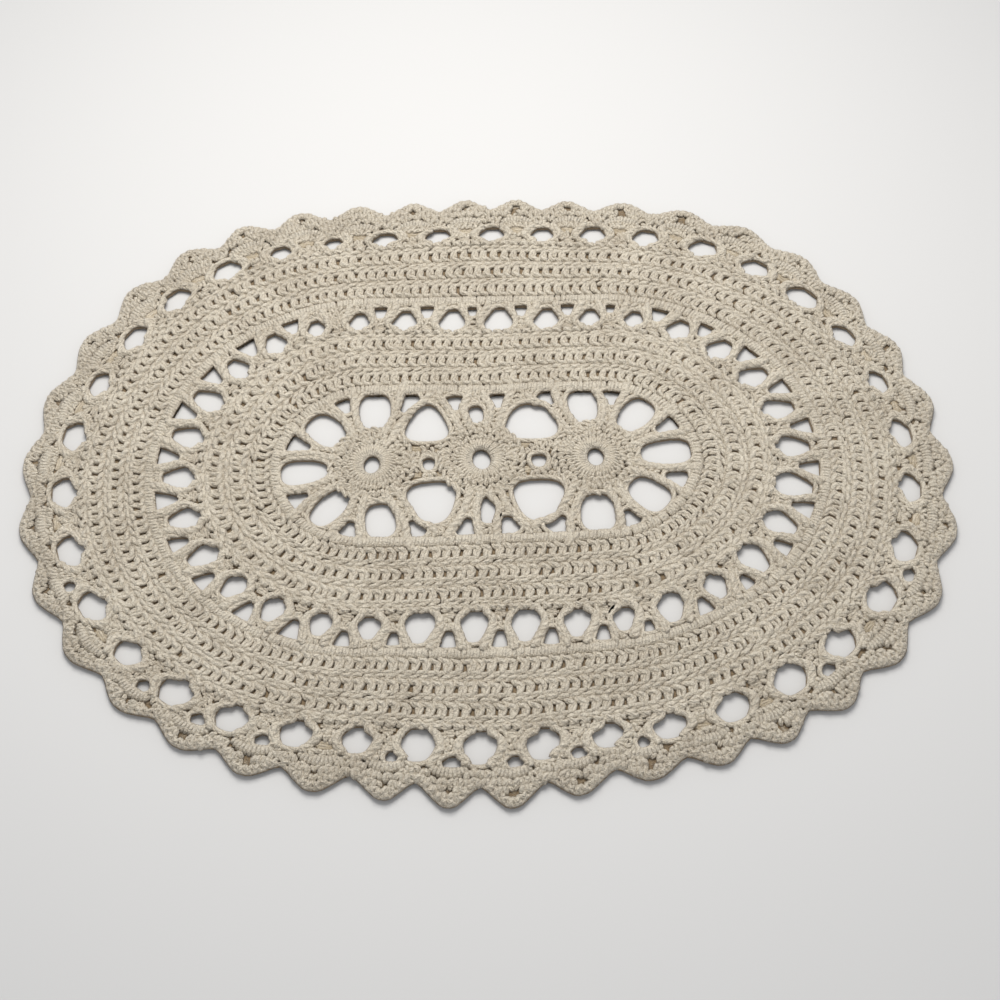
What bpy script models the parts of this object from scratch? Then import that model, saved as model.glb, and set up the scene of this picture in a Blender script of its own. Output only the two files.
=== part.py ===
"""Lace doily: an oval crocheted cotton mat with three rosettes in a row.

The whole mat is one cloth, worked in rounds from the middle outwards:
a centre field of three rosettes held by forked legs, a solid band of
single crochet, a lace round of crossed posts, a second solid band, a
lace edging and a border of shells.  It lies flat on the table.

Axes: +X along the mat, +Y across it (the near side is -Y), +Z up.
Lengths below are in millimetres and are turned into metres at the end.
"""
import math

import bmesh
import bpy
from mathutils import Vector
from mathutils.geometry import delaunay_2d_cdt

MM = 0.001

# The core line of the oval is a straight run with a half circle at each end.
HALF_STRAIGHT = 57.8     # half of the straight run
DRAW_IN = 0.967          # the long sides are drawn in a little by the stitches

# Thickness of the cloth, from the flat underside.
CUT_EDGE = 2.4           # top of the yarn along every gap and along the rim
LACE_TOP = 3.2           # middle of the lace posts
GROOVE = 3.1             # bottom of the groove between two rounds of stitches
RIDGE = 4.2              # crest of a round of stitches
ROSETTE_TOP = 4.2        # the padded rings of a rosette
SHELL_TOP = 4.0          # middle of a border shell

# Mean radius of each round about the core line; sets how far along a step is.
FIELD_REF = 40.5
LACE_REF = 90.0
EDGING_REF = 147.0       # also used for the border of shells

# Distance from the core line to the edge of each round, in 16 directions.
# The first row is the middle of the near side, then right, far side and left.
# shell_shift is how far along the shells sit from the posts that carry them.
COLUMNS = ("field", "inner_band", "lace", "outer_band", "edging", "valley", "tip", "shell_shift")
ROUNDS = (
    (40.5, 83.0, 101.0, 143.0, 158.0, 169.5, 179.0, 0.0),
    (40.5, 82.5, 99.0, 138.5, 149.5, 160.5, 167.5, 4.0),
    (39.5, 79.5, 95.5, 136.0, 149.0, 160.0, 168.0, -1.5),
    (39.0, 81.0, 99.5, 140.5, 153.0, 163.5, 170.0, -3.5),
    (41.0, 83.5, 103.0, 140.5, 150.5, 161.0, 167.5, -1.5),
    (40.5, 82.5, 101.0, 140.0, 149.5, 159.5, 165.5, -2.5),
    (40.5, 83.0, 98.0, 140.5, 152.0, 164.0, 169.0, -2.0),
    (41.0, 82.5, 97.0, 138.5, 150.5, 162.5, 168.5, 0.0),
    (40.0, 82.0, 97.5, 142.5, 152.0, 165.5, 172.0, 0.0),
    (41.0, 83.5, 98.0, 140.0, 149.0, 162.5, 169.5, 1.0),
    (41.5, 84.0, 99.0, 141.5, 153.0, 164.5, 172.0, -3.5),
    (40.0, 82.0, 100.5, 140.0, 150.0, 161.0, 167.5, -3.0),
    (41.0, 83.0, 101.5, 139.5, 151.5, 162.0, 167.0, 0.0),
    (41.0, 82.5, 101.0, 139.0, 150.5, 160.5, 167.0, 1.0),
    (40.5, 82.0, 99.0, 138.5, 151.5, 161.0, 166.5, 1.5),
    (41.0, 83.5, 99.0, 138.0, 150.5, 161.5, 170.0, -1.0),
)

# Rosette middles on the long axis.
ROSETTES = ((-55.5, 0.0), (-2.3, 1.2), (53.0, 1.0))
ROSETTE_RINGS = (            # radius, height above the table
    (7.6, ROSETTE_TOP),
    (12.0, 3.3),
    (16.0, 3.9),
)

# Gaps of the centre field: middle x, middle y, turn in degrees, length,
# width at the end next to the rosette, width at the end next to the band.
FIELD_GAPS = (
    # large gaps between the forked legs
    (-88.0, -3.0, 185, 21.5, 9.5, 14.5),
    (-78.0, 20.0, 139, 20.5, 15.0, 15.0),
    (-75.0, -23.0, 229, 21.5, 13.0, 11.0),
    (-54.5, 31.0, 89, 20.0, 14.5, 14.5),
    (-51.0, -31.0, 278, 17.5, 12.0, 14.0),
    (-28.8, 23.5, 90, 20.5, 25.5, 9.0),
    (-26.4, -21.8, 274, 22.0, 27.0, 14.0),
    (-4.5, 27.5, 96, 9.0, 5.5, 6.5),
    (0.2, -26.8, 274, 13.0, 6.0, 8.5),
    (22.8, 23.0, 88, 19.5, 29.0, 17.0),
    (24.8, -21.8, 270, 21.5, 28.0, 14.5),
    (48.6, 31.0, 97, 18.5, 11.5, 14.5),
    (52.6, -29.6, 268, 19.0, 15.0, 16.0),
    (74.0, 25.0, 47, 19.5, 13.0, 14.5),
    (77.5, -20.0, 319, 19.5, 13.0, 16.0),
    (87.5, 3.0, 4, 23.5, 11.0, 14.0),
    # small gaps in the fork of each leg
    (-91.3, 12.5, 162, 11.0, 2.6, 11.5),
    (-90.5, -18.0, 207, 9.5, 2.0, 10.5),
    (-69.6, 34.3, 113, 7.5, 3.0, 9.0),
    (-65.7, -35.0, 253, 7.0, 3.2, 10.0),
    (-38.0, 35.4, 60, 11.5, 2.0, 9.5),
    (-34.2, -35.8, 300, 9.0, 1.6, 9.5),
    (-14.8, 34.6, 95, 7.5, 2.0, 10.0),
    (-10.1, -35.8, 257, 9.0, 3.0, 10.5),
    (6.4, 35.4, 95, 7.5, 2.2, 9.0),
    (9.8, -35.0, 288, 8.5, 4.0, 11.0),
    (31.0, 36.2, 125, 8.0, 1.6, 9.5),
    (33.6, -35.3, 238, 9.0, 2.4, 14.0),
    (63.0, 35.4, 88, 7.8, 2.0, 11.0),
    (67.7, -32.9, 294, 8.0, 2.6, 9.5),
    (88.9, 18.0, 26, 10.5, 3.4, 10.0),
    (91.3, -11.6, 342, 9.5, 3.4, 10.5),
    # eyes in the two joins between rosettes
    (-27.9, -0.4, 270, 5.4, 5.2, 3.6),
    (25.5, 0.0, 90, 5.8, 4.6, 7.0),
    # eye of each rosette
    (-55.5, 0.0, 80, 9.0, 6.6, 7.4),
    (-2.3, 1.4, 100, 10.5, 7.6, 8.6),
    (53.0, 1.2, 95, 9.2, 6.8, 7.8),
)

# The lace round has 34 crossed posts and the edging 38, one under each shell.
LACE_START = 0.0051          # way round at the first post
EDGING_START = 0.0085
END_SPREAD = 0.0082          # the edging posts stand wider round the two ends
END_PHASE = 0.23

# Half outlines of the gaps: level (0 at the inner band, 1 at the outer one)
# and half width at that level.
LACE_LARGE_GAP = ((0.0, 3.0), (0.1, 5.3), (0.3, 6.4), (0.55, 4.5), (0.82, 1.9))
LACE_SMALL_GAP = ((0.53, 0.6), (0.78, 2.4), (0.98, 3.6))
EDGING_LARGE_GAP = ((0.02, 3.8), (0.32, 7.6), (0.62, 6.9), (0.95, 3.6))
ARCH_GAP = ((-0.2, 1.2), (0.0, 3.2), (0.14, 2.2))
ARCH_AHEAD = 2.4             # an arch opens a little ahead of its post
OPEN_FEET = ((LACE_REF, 2), (EDGING_REF, 0))            # posts with an open foot
FOOT_GAP = ((-0.14, 2.9), (0.05, 1.4))
LACE_LEAN = -1.6             # the posts lean this far along, from foot to top
LACE_TRAIL = -0.4            # the large gaps sit a little behind the middle

# The unevenness of the hand. For each lace post: how far along it stands from
# an even spacing, the size of the gap in its fork (0 where it is drawn shut),
# how far along the large gap after it stands, and the size of that gap.
LACE_HAND = (
    (0.5, 0.9, 0.5, 1.05), (0.5, 0.9, 0.5, 0.95), (0.5, 0.85, -1.5, 0.8), (-2.5, 0.6, -2.0, 1.05),
    (1.0, 1.0, -0.5, 0.9), (1.0, 0.8, 1.0, 1.05), (2.5, 0.9, 2.0, 1.0), (2.0, 1.1, 1.5, 1.1),
    (0.5, 1.0, 0.5, 0.95), (-0.5, 1.05, 0.0, 0.95), (-1.0, 1.1, -1.0, 0.95), (-0.5, 1.15, -1.0, 0.95),
    (0.0, 1.0, -0.5, 0.95), (0.5, 1.1, 0.0, 0.75), (1.0, 0.6, -0.5, 0.8), (-0.5, 0.9, -1.5, 1.0),
    (0.0, 0.85, -0.5, 1.15), (1.5, 0.65, 0.0, 1.05), (1.5, 0.95, 1.0, 0.95), (2.0, 0.9, 1.0, 0.8),
    (0.5, 0.0, 0.0, 0.7), (-0.5, 1.1, -1.0, 0.9), (-0.5, 1.3, -0.5, 0.85), (-1.0, 1.15, 0.0, 1.0),
    (-1.0, 1.25, 0.0, 0.95), (0.5, 1.15, 0.5, 0.95), (0.5, 1.2, 1.0, 0.9), (1.0, 0.95, 1.0, 0.9),
    (0.5, 1.0, 0.5, 0.8), (1.5, 1.1, 0.0, 0.85), (0.5, 1.2, 0.5, 0.8), (0.0, 0.9, -0.5, 0.8),
    (-1.0, 0.75, -1.0, 1.1), (0.5, 0.95, 0.5, 1.0),
)

# For each edging post: the size of its arch (0 where it is shut), how far
# along the large gap after it stands, and the size of that gap.
EDGING_HAND = (
    (1.0, 0.0, 1.0), (1.0, 0.5, 0.9), (0.65, 0.0, 1.0), (0.0, 1.0, 1.05), (0.0, 1.5, 1.05), (0.95, 1.5, 0.95),
    (0.0, 1.5, 1.0), (1.0, -1.0, 0.95), (0.0, -0.5, 0.9), (0.0, -1.5, 0.95), (0.0, -2.0, 0.8), (0.0, -1.5, 0.9),
    (0.0, -1.5, 1.1), (0.0, -2.0, 0.9), (0.0, -2.0, 0.95), (0.0, 0.5, 0.9), (0.0, 1.0, 0.9), (0.0, 0.5, 0.8),
    (0.0, 0.0, 0.9), (0.0, 1.0, 0.9), (0.0, 1.5, 0.9), (0.0, 1.0, 0.65), (0.0, 0.5, 0.7), (0.0, 0.0, 0.95),
    (0.0, 0.0, 1.0), (0.0, -1.0, 0.95), (0.0, -0.5, 0.85), (0.0, -0.5, 0.95), (0.0, -0.5, 0.95), (0.0, 0.5, 1.0),
    (0.65, 1.5, 1.0), (0.0, 1.0, 0.85), (0.8, 1.0, 1.0), (0.95, 0.5, 0.95), (0.9, 2.0, 0.95), (0.0, 1.5, 0.9),
    (0.65, 0.5, 1.05), (1.4, 0.0, 1.0),
)

# Crests and grooves across a solid band: level and height above the table.
BAND_PROFILE = (
    (0.12, 3.9), (0.24, GROOVE), (0.375, RIDGE), (0.51, GROOVE),
    (0.64, RIDGE), (0.77, GROOVE), (0.91, RIDGE),
)

# One shell, from valley to valley: part of its width, part of its height.
SHELL_OUTLINE = ((0.0, -0.06), (0.2, 0.46), (0.37, 0.92), (0.5, 1.0), (0.63, 0.88), (0.8, 0.42))


def place(way, out, ref):
    """Point that lies `out` from the core line, `way` (0 to 1) round the mat."""
    length = 4.0 * HALF_STRAIGHT + 2.0 * math.pi * ref
    along = (way % 1.0) * length
    bend = math.pi * ref
    if along < HALF_STRAIGHT:
        x, y = along, -out
    elif along < HALF_STRAIGHT + bend:
        turn = (along - HALF_STRAIGHT) / ref
        x, y = HALF_STRAIGHT + out * math.sin(turn), -out * math.cos(turn)
    elif along < 3.0 * HALF_STRAIGHT + bend:
        x, y = 2.0 * HALF_STRAIGHT + bend - along, out
    elif along < 3.0 * HALF_STRAIGHT + 2.0 * bend:
        turn = (along - 3.0 * HALF_STRAIGHT - bend) / ref
        x, y = -HALF_STRAIGHT - out * math.sin(turn), out * math.cos(turn)
    else:
        x, y = along - 4.0 * HALF_STRAIGHT - 2.0 * bend, -out
    return Vector((x, y * DRAW_IN))


def edge_of(name, way):
    """Distance from the core line to the edge of a round, eased between rows."""
    column = COLUMNS.index(name)
    count = len(ROUNDS)
    step = (way % 1.0) * count
    i = int(step)
    f = step - i
    a, b, c, d = (ROUNDS[(i + k) % count][column] for k in (-1, 0, 1, 2))
    return b + 0.5 * f * (c - a + f * (2 * a - 5 * b + 4 * c - d + f * (3 * (b - c) + d - a)))


def length_of(ref):
    """Length of the round whose half circles have this radius."""
    return 4.0 * HALF_STRAIGHT + 2.0 * math.pi * ref


def lace_way(post):
    """Way round at a lace post."""
    return LACE_START + post / len(LACE_HAND) + LACE_HAND[post][0] / length_of(LACE_REF)


def lace_gap_way(post):
    """Way round at the middle of the large gap after a lace post."""
    even = LACE_START + (post + 0.5) / len(LACE_HAND)
    return even + (LACE_TRAIL + LACE_HAND[post][2]) / length_of(LACE_REF)


def edging_even(post):
    """Way round at an edging post before the hand moves it; wider round the ends."""
    way = post / len(EDGING_HAND)
    return way + EDGING_START - END_SPREAD * math.sin(4.0 * math.pi * way + END_PHASE)


def edging_way(post):
    """Way round at an edging post: it goes with the gaps on its two sides."""
    count = len(EDGING_HAND)
    moved = 0.5 * (EDGING_HAND[(post - 1) % count][1] + EDGING_HAND[post % count][1])
    return edging_even(post) + moved / length_of(EDGING_REF)


def edging_gap_way(post):
    """Way round at the middle of the large gap after an edging post."""
    even = 0.5 * (edging_even(post) + edging_even(post + 1))
    return even + EDGING_HAND[post % len(EDGING_HAND)][1] / length_of(EDGING_REF)


def sized(outline, size):
    """A half outline made larger or smaller about its own middle level."""
    middle = 0.5 * (outline[0][0] + outline[-1][0])
    return [(middle + (level - middle) * size, half * size) for level, half in outline]


def field_gap(x, y, turn, length, near, far, points):
    """Rounded, tapered gap: a full oval whose width runs from near to far."""
    c, s = math.cos(math.radians(turn)), math.sin(math.radians(turn))
    ring = []
    for k in range(points):
        a = 2.0 * math.pi * (k + 0.5) / points
        u = math.copysign(abs(math.cos(a)) ** 0.72, math.cos(a)) * length / 2.0
        w = near + (far - near) * (u / length + 0.5)
        v = math.copysign(abs(math.sin(a)) ** 0.72, math.sin(a)) * w / 2.0
        ring.append(Vector((x + u * c - v * s, y + u * s + v * c)))
    return ring


def round_gap(way, ref, inner, outer, half_outline):
    """Gap in a lace round, mirrored about its middle line, then leaned over."""
    low, high = edge_of(inner, way), edge_of(outer, way)
    ring = []
    for level, half in list(half_outline) + [(lv, -h) for lv, h in reversed(half_outline)]:
        along = half + LACE_LEAN * (level - 0.5)
        ring.append(place(way + along / length_of(ref), low + (high - low) * level, ref))
    return ring


# ---------------------------------------------------------------- outlines
def shell_sides(post):
    """Ways round at the two valleys beside a shell."""
    return (0.5 * (edging_even(post - 1) + edging_even(post)),
            0.5 * (edging_even(post) + edging_even(post + 1)))


edging_length = length_of(EDGING_REF)
rim = []
for post in range(len(EDGING_HAND)):
    left, right = shell_sides(post)
    for across, rise in SHELL_OUTLINE:
        way = left + (right - left) * across
        way += edge_of("shell_shift", way) / edging_length
        out = edge_of("valley", way) + (edge_of("tip", way) - edge_of("valley", way)) * rise
        rim.append(place(way, out, EDGING_REF))

gaps = []
for x, y, turn, length, near, far in FIELD_GAPS:
    points = 12 if length > 12.0 else (10 if near > 6.0 else 8)
    gaps.append(field_gap(x, y, turn, length, near, far, points))
for post, (_, fork, _, large) in enumerate(LACE_HAND):
    gaps.append(round_gap(lace_gap_way(post), LACE_REF, "inner_band", "lace", sized(LACE_LARGE_GAP, large)))
    if fork:
        gaps.append(round_gap(lace_way(post), LACE_REF, "inner_band", "lace", sized(LACE_SMALL_GAP, fork)))
    if (LACE_REF, post) in OPEN_FEET:
        gaps.append(round_gap(lace_way(post), LACE_REF, "inner_band", "lace", FOOT_GAP))
for post, (arch_size, _, large) in enumerate(EDGING_HAND):
    way = edging_way(post)
    widen = (edging_even(post + 1) - edging_even(post)) * edging_length / 30.5
    outline = [(level, half * widen) for level, half in EDGING_LARGE_GAP]
    gaps.append(round_gap(edging_gap_way(post), EDGING_REF, "outer_band", "edging", sized(outline, large)))
    if arch_size:
        low, high = edge_of("outer_band", way), edge_of("edging", way)
        arch = [(1.0 + level * 11.0 / (high - low), half * arch_size) for level, half in ARCH_GAP]
        ahead = way + ARCH_AHEAD / edging_length
        gaps.append(round_gap(ahead, EDGING_REF, "outer_band", "edging", arch))
    if (EDGING_REF, post) in OPEN_FEET:
        gaps.append(round_gap(way, EDGING_REF, "outer_band", "edging", FOOT_GAP))

# ------------------------------------------------- relief inside the cloth
relief = []                                   # closed loops of (point, height)
for low, high, ref_low, ref_high, points in (
    ("field", "inner_band", FIELD_REF, 82.5, 60),
    ("lace", "outer_band", 99.0, 140.0, 92),
):
    for level, height in BAND_PROFILE:
        ref = ref_low + (ref_high - ref_low) * level
        loop = []
        for k in range(points):
            way = (k + 0.5) / points
            out = edge_of(low, way) * (1.0 - level) + edge_of(high, way) * level
            loop.append((place(way, out, ref), height))
        relief.append(loop)
for x, y in ROSETTES:
    for radius, height in ROSETTE_RINGS:
        count = 14 if radius < 10.0 else 20
        loop = []
        for k in range(count):
            a = 2.0 * math.pi * k / count
            loop.append((Vector((x + radius * math.cos(a), y + radius * math.sin(a))), height))
        relief.append(loop)
studs = []                                    # single raised points
for post in range(len(EDGING_HAND)):
    way = edging_even(post)
    way += edge_of("shell_shift", way) / edging_length
    base, tip = edge_of("edging", way), edge_of("tip", way)
    studs.append((place(way, base + (tip - base) * 0.36, EDGING_REF), SHELL_TOP))
    studs.append((place(way, base + (tip - base) * 0.68, EDGING_REF), SHELL_TOP))
    between = shell_sides(post)[1]
    valley = edge_of("valley", between)
    inner = edge_of("edging", between)
    studs.append((place(between, inner + (valley - inner) * 0.5, EDGING_REF), LACE_TOP))
for post in range(len(LACE_HAND)):
    way = lace_way(post)
    low, high = edge_of("inner_band", way), edge_of("lace", way)
    studs.append((place(way, low + (high - low) * 0.28, LACE_REF), LACE_TOP))

# The box of the rim is centred on the origin.
middle = Vector((
    (min(p.x for p in rim) + max(p.x for p in rim)) / 2.0,
    (min(p.y for p in rim) + max(p.y for p in rim)) / 2.0,
))


def inside(point, ring):
    """True when a point lies within a closed ring."""
    hit = False
    for a, b in zip(ring, ring[1:] + ring[:1]):
        if (a.y > point.y) != (b.y > point.y):
            if point.x < a.x + (b.x - a.x) * (point.y - a.y) / (b.y - a.y):
                hit = not hit
    return hit


def fill(loops, extra):
    """Triangles between the rim and the gaps; also the height of each point."""
    points, heights, edges = [], [], []
    for loop in loops:
        start = len(points)
        for k, (point, height) in enumerate(loop):
            points.append(point)
            heights.append(height)
            edges.append((start + k, start + (k + 1) % len(loop)))
    for point, height in extra:
        points.append(point)
        heights.append(height)
    verts, _, faces, source, _, _ = delaunay_2d_cdt(points, edges, [], 0, 1e-5)
    kept = []
    for face in faces:
        centre = sum((verts[i] for i in face), Vector((0.0, 0.0))) / 3.0
        if inside(centre, rim) and not any(inside(centre, g) for g in near_gaps(centre)):
            kept.append(face)
    return verts, [heights[s[0]] for s in source], [s[0] for s in source], kept


boxes = [
    (min(p.x for p in g), max(p.x for p in g), min(p.y for p in g), max(p.y for p in g), g)
    for g in gaps
]


def near_gaps(point):
    """Gaps whose box holds the point."""
    return [g for x0, x1, y0, y1, g in boxes if x0 <= point.x <= x1 and y0 <= point.y <= y1]


border = [[(p, CUT_EDGE) for p in ring] for ring in [rim] + gaps]
border_points = sum(len(ring) for ring in border)

mesh = bmesh.new()
top_of, foot_of = {}, {}
verts, heights, names, faces = fill(border + relief, studs)
for point, height, name in zip(verts, heights, names):
    top_of[name] = mesh.verts.new(((point.x - middle.x) * MM, (point.y - middle.y) * MM, height * MM))
for a, b, c in faces:
    mesh.faces.new((top_of[names[a]], top_of[names[b]], top_of[names[c]]))
verts, heights, names, faces = fill(border, [])
for point, name in zip(verts, names):
    foot_of[name] = mesh.verts.new(((point.x - middle.x) * MM, (point.y - middle.y) * MM, 0.0))
for a, b, c in faces:
    mesh.faces.new((foot_of[names[c]], foot_of[names[b]], foot_of[names[a]]))
start = 0
for ring in border:
    for k in range(len(ring)):
        i, j = start + k, start + (k + 1) % len(ring)
        mesh.faces.new((foot_of[i], foot_of[j], top_of[j], top_of[i]))
    start += len(ring)
bmesh.ops.recalc_face_normals(mesh, faces=mesh.faces)
bmesh.ops.triangulate(mesh, faces=mesh.faces)

# ------------------------------------------------------------- the object
for old in list(bpy.data.objects):
    bpy.data.objects.remove(old, do_unlink=True)
group = bpy.data.collections.new("lace doily")
bpy.context.scene.collection.children.link(group)

data = bpy.data.meshes.new("doily")
mesh.to_mesh(data)
mesh.free()
doily = bpy.data.objects.new("doily", data)
group.objects.link(doily)

cotton = bpy.data.materials.new("ecru cotton")
cotton.use_nodes = True
shader = cotton.node_tree.nodes["Principled BSDF"]
shader.inputs["Base Color"].default_value = (0.60, 0.52, 0.40, 1.0)
shader.inputs["Roughness"].default_value = 0.9
shader.inputs["Metallic"].default_value = 0.0
data.materials.append(cotton)

xs = [v.co.x / MM for v in data.vertices]
ys = [v.co.y / MM for v in data.vertices]
print("gaps", len(gaps), "triangles", len(data.polygons))
print("length", round(max(xs) - min(xs), 1), "width", round(max(ys) - min(ys), 1))
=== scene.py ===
# %% [markdown]
# # A crocheted oval doily
#
# The doily is one long cotton yarn, looped with a hook into rounds: three
# rosettes in a row, a solid band, a round of crossed lace posts, a wider solid
# band, an open edging and a border of shells.
# Every thread that can be seen is made here as a thread: a tube that follows
# the path the yarn takes. A thin cloth below the threads holds them together.

# %% Load the fixed frame
import bpy
import math
import random
import numpy as np
from mathutils import Matrix, Vector
from mathutils.geometry import delaunay_2d_cdt


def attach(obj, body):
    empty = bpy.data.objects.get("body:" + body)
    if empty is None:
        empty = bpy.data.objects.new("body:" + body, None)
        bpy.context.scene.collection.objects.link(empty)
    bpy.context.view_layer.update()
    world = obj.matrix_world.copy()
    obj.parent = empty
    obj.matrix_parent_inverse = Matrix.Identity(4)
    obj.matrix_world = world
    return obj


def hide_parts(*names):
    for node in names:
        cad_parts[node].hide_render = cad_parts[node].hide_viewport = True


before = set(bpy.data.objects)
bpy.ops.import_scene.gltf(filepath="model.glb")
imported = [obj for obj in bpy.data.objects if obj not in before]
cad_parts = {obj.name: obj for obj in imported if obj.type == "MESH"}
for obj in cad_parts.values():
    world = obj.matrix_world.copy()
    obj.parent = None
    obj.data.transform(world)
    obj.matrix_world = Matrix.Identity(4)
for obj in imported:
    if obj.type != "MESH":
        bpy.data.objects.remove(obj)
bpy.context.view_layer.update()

# %% [markdown]
# ## The plan of the mat
#
# A crocheter thinks in rounds. Here each round is a distance out from a core
# line, a straight run with a half circle at each end, so a place on the mat is
# "how far round" (0 to 1) and "how far out" (millimetres). The distances were
# noted in 16 directions, because a hand-made mat is never quite even. Reusing
# one plan for every piece is what keeps the pieces together.

# %% Rounds of the mat
MM = 0.001
MIDDLE = (0.322, -3.187)      # the plan's own middle, moved to the origin, mm
HALF_STRAIGHT = 57.8          # half of the straight run, mm
DRAW_IN = 0.967               # the long sides are pulled in a little
FIELD_REF, LACE_REF, EDGING_REF = 40.5, 90.0, 147.0   # mean radius of a round

COLUMNS = ("field", "inner_band", "lace", "outer_band", "edging", "valley", "tip", "shell_shift")
ROUND_REF = (FIELD_REF,) + 2 * (LACE_REF,) + 5 * (EDGING_REF,)
ROUNDS = (
    (40.5, 83.0, 101.0, 143.0, 158.0, 169.5, 179.0, 0.0),
    (40.5, 82.5, 99.0, 138.5, 149.5, 160.5, 167.5, 4.0),
    (39.5, 79.5, 95.5, 136.0, 149.0, 160.0, 168.0, -1.5),
    (39.0, 81.0, 99.5, 140.5, 153.0, 163.5, 170.0, -3.5),
    (41.0, 83.5, 103.0, 140.5, 150.5, 161.0, 167.5, -1.5),
    (40.5, 82.5, 101.0, 140.0, 149.5, 159.5, 165.5, -2.5),
    (40.5, 83.0, 98.0, 140.5, 152.0, 164.0, 169.0, -2.0),
    (41.0, 82.5, 97.0, 138.5, 150.5, 162.5, 168.5, 0.0),
    (40.0, 82.0, 97.5, 142.5, 152.0, 165.5, 172.0, 0.0),
    (41.0, 83.5, 98.0, 140.0, 149.0, 162.5, 169.5, 1.0),
    (41.5, 84.0, 99.0, 141.5, 153.0, 164.5, 172.0, -3.5),
    (40.0, 82.0, 100.5, 140.0, 150.0, 161.0, 167.5, -3.0),
    (41.0, 83.0, 101.5, 139.5, 151.5, 162.0, 167.0, 0.0),
    (41.0, 82.5, 101.0, 139.0, 150.5, 160.5, 167.0, 1.0),
    (40.5, 82.0, 99.0, 138.5, 151.5, 161.0, 166.5, 1.5),
    (41.0, 83.5, 99.0, 138.0, 150.5, 161.5, 170.0, -1.0),
)


print("directions noted", len(ROUNDS))

# %% Places on the mat
def round_length(ref):
    """Length of the round whose half circles have this radius."""
    return 4.0 * HALF_STRAIGHT + 2.0 * math.pi * ref


LACE_LENGTH, EDGING_LENGTH = round_length(LACE_REF), round_length(EDGING_REF)


def part_ends(ref):
    """Ways round (0 to 1) at which the straights and the half circles end."""
    bend = math.pi * ref
    parts = (0.0, HALF_STRAIGHT, bend, 2.0 * HALF_STRAIGHT, bend, HALF_STRAIGHT)
    return np.cumsum(parts) / round_length(ref)


def spot(way, out, ref):
    """The point `way` (0 to 1) round the mat and `out` mm from the core line."""
    half, sign = 0.5 * round_length(ref), 1.0
    along = (way % 1.0) * round_length(ref)
    if along >= half:         # the second half is the first, turned about the middle
        along, sign = along - half, -1.0
    turn = min(max((along - HALF_STRAIGHT) / ref, 0.0), math.pi)
    x = min(along, HALF_STRAIGHT, half - along) + out * math.sin(turn)
    return sign * x, -sign * out * math.cos(turn) * DRAW_IN


def eased(a, b, c, d, t):
    """A smooth curve from b to c, led by the values before and after them."""
    return b + 0.5 * t * (c - a + t * (2 * a - 5 * b + 4 * c - d + t * (3 * (b - c) + d - a)))


def edge(name, way, ref=None):
    """How far out a round ends, eased between the 16 directions."""
    column = COLUMNS.index(name)
    if ref is not None:
        way = float(np.interp(way % 1.0, part_ends(ref), part_ends(ROUND_REF[column])))
    step = (way % 1.0) * len(ROUNDS)
    i = int(step)
    return eased(*(ROUNDS[(i + k) % len(ROUNDS)][column] for k in (-1, 0, 1, 2)), step - i)


print("round of lace", round(LACE_LENGTH), "mm, edging", round(EDGING_LENGTH), "mm")

# %% [markdown]
# ## Where the lace is open
#
# The holes give a doily its pattern. The middle has 37 of them, each noted by
# its place, turn and widths. The lace and the edging repeat one large and one
# small hole round the mat, so those need only a half outline and a count.

# %% Holes of the middle field
ROSETTES = ((-55.5, 0.0), (-2.3, 1.2), (53.0, 1.0))

# x, y, turn in degrees, length, width near the rosette, width near the band
FIELD_GAPS = (
    (-88.0, -3.0, 185, 21.5, 9.5, 14.5),
    (-78.0, 20.0, 139, 20.5, 15.0, 15.0),
    (-75.0, -23.0, 229, 21.5, 13.0, 11.0),
    (-54.5, 31.0, 89, 20.0, 14.5, 14.5),
    (-51.0, -31.0, 278, 17.5, 12.0, 14.0),
    (-28.8, 23.5, 90, 20.5, 25.5, 9.0),
    (-26.4, -21.8, 274, 22.0, 27.0, 14.0),
    (-4.5, 27.5, 96, 9.0, 5.5, 6.5),
    (0.2, -26.8, 274, 13.0, 6.0, 8.5),
    (22.8, 23.0, 88, 19.5, 29.0, 17.0),
    (24.8, -21.8, 270, 21.5, 28.0, 14.5),
    (48.6, 31.0, 97, 18.5, 11.5, 14.5),
    (52.6, -29.6, 268, 19.0, 15.0, 16.0),
    (74.0, 25.0, 47, 19.5, 13.0, 14.5),
    (77.5, -20.0, 319, 19.5, 13.0, 16.0),
    (87.5, 3.0, 4, 23.5, 11.0, 14.0),
)
FORK_GAPS = (                  # one in the fork of each leg
    (-91.3, 12.5, 162, 11.0, 2.6, 11.5),
    (-90.5, -18.0, 207, 9.5, 2.0, 10.5),
    (-69.6, 34.3, 113, 7.5, 3.0, 9.0),
    (-65.7, -35.0, 253, 7.0, 3.2, 10.0),
    (-38.0, 35.4, 60, 11.5, 2.0, 9.5),
    (-34.2, -35.8, 300, 9.0, 1.6, 9.5),
    (-14.8, 34.6, 95, 7.5, 2.0, 10.0),
    (-10.1, -35.8, 257, 9.0, 3.0, 10.5),
    (6.4, 35.4, 95, 7.5, 2.2, 9.0),
    (9.8, -35.0, 288, 8.5, 4.0, 11.0),
    (31.0, 36.2, 125, 8.0, 1.6, 9.5),
    (33.6, -35.3, 238, 9.0, 2.4, 14.0),
    (63.0, 35.4, 88, 7.8, 2.0, 11.0),
    (67.7, -32.9, 294, 8.0, 2.6, 9.5),
    (88.9, 18.0, 26, 10.5, 3.4, 10.0),
    (91.3, -11.6, 342, 9.5, 3.4, 10.5),
)
JOIN_EYES = ((-27.9, -0.4, 270, 5.4, 5.2, 3.6), (25.5, 0.0, 90, 5.8, 4.6, 7.0))
ROSETTE_EYES = (
    (-55.5, 0.0, 80, 9.0, 6.6, 7.4), (-2.3, 1.4, 100, 10.5, 7.6, 8.6), (53.0, 1.2, 95, 9.2, 6.8, 7.8),
)


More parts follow.
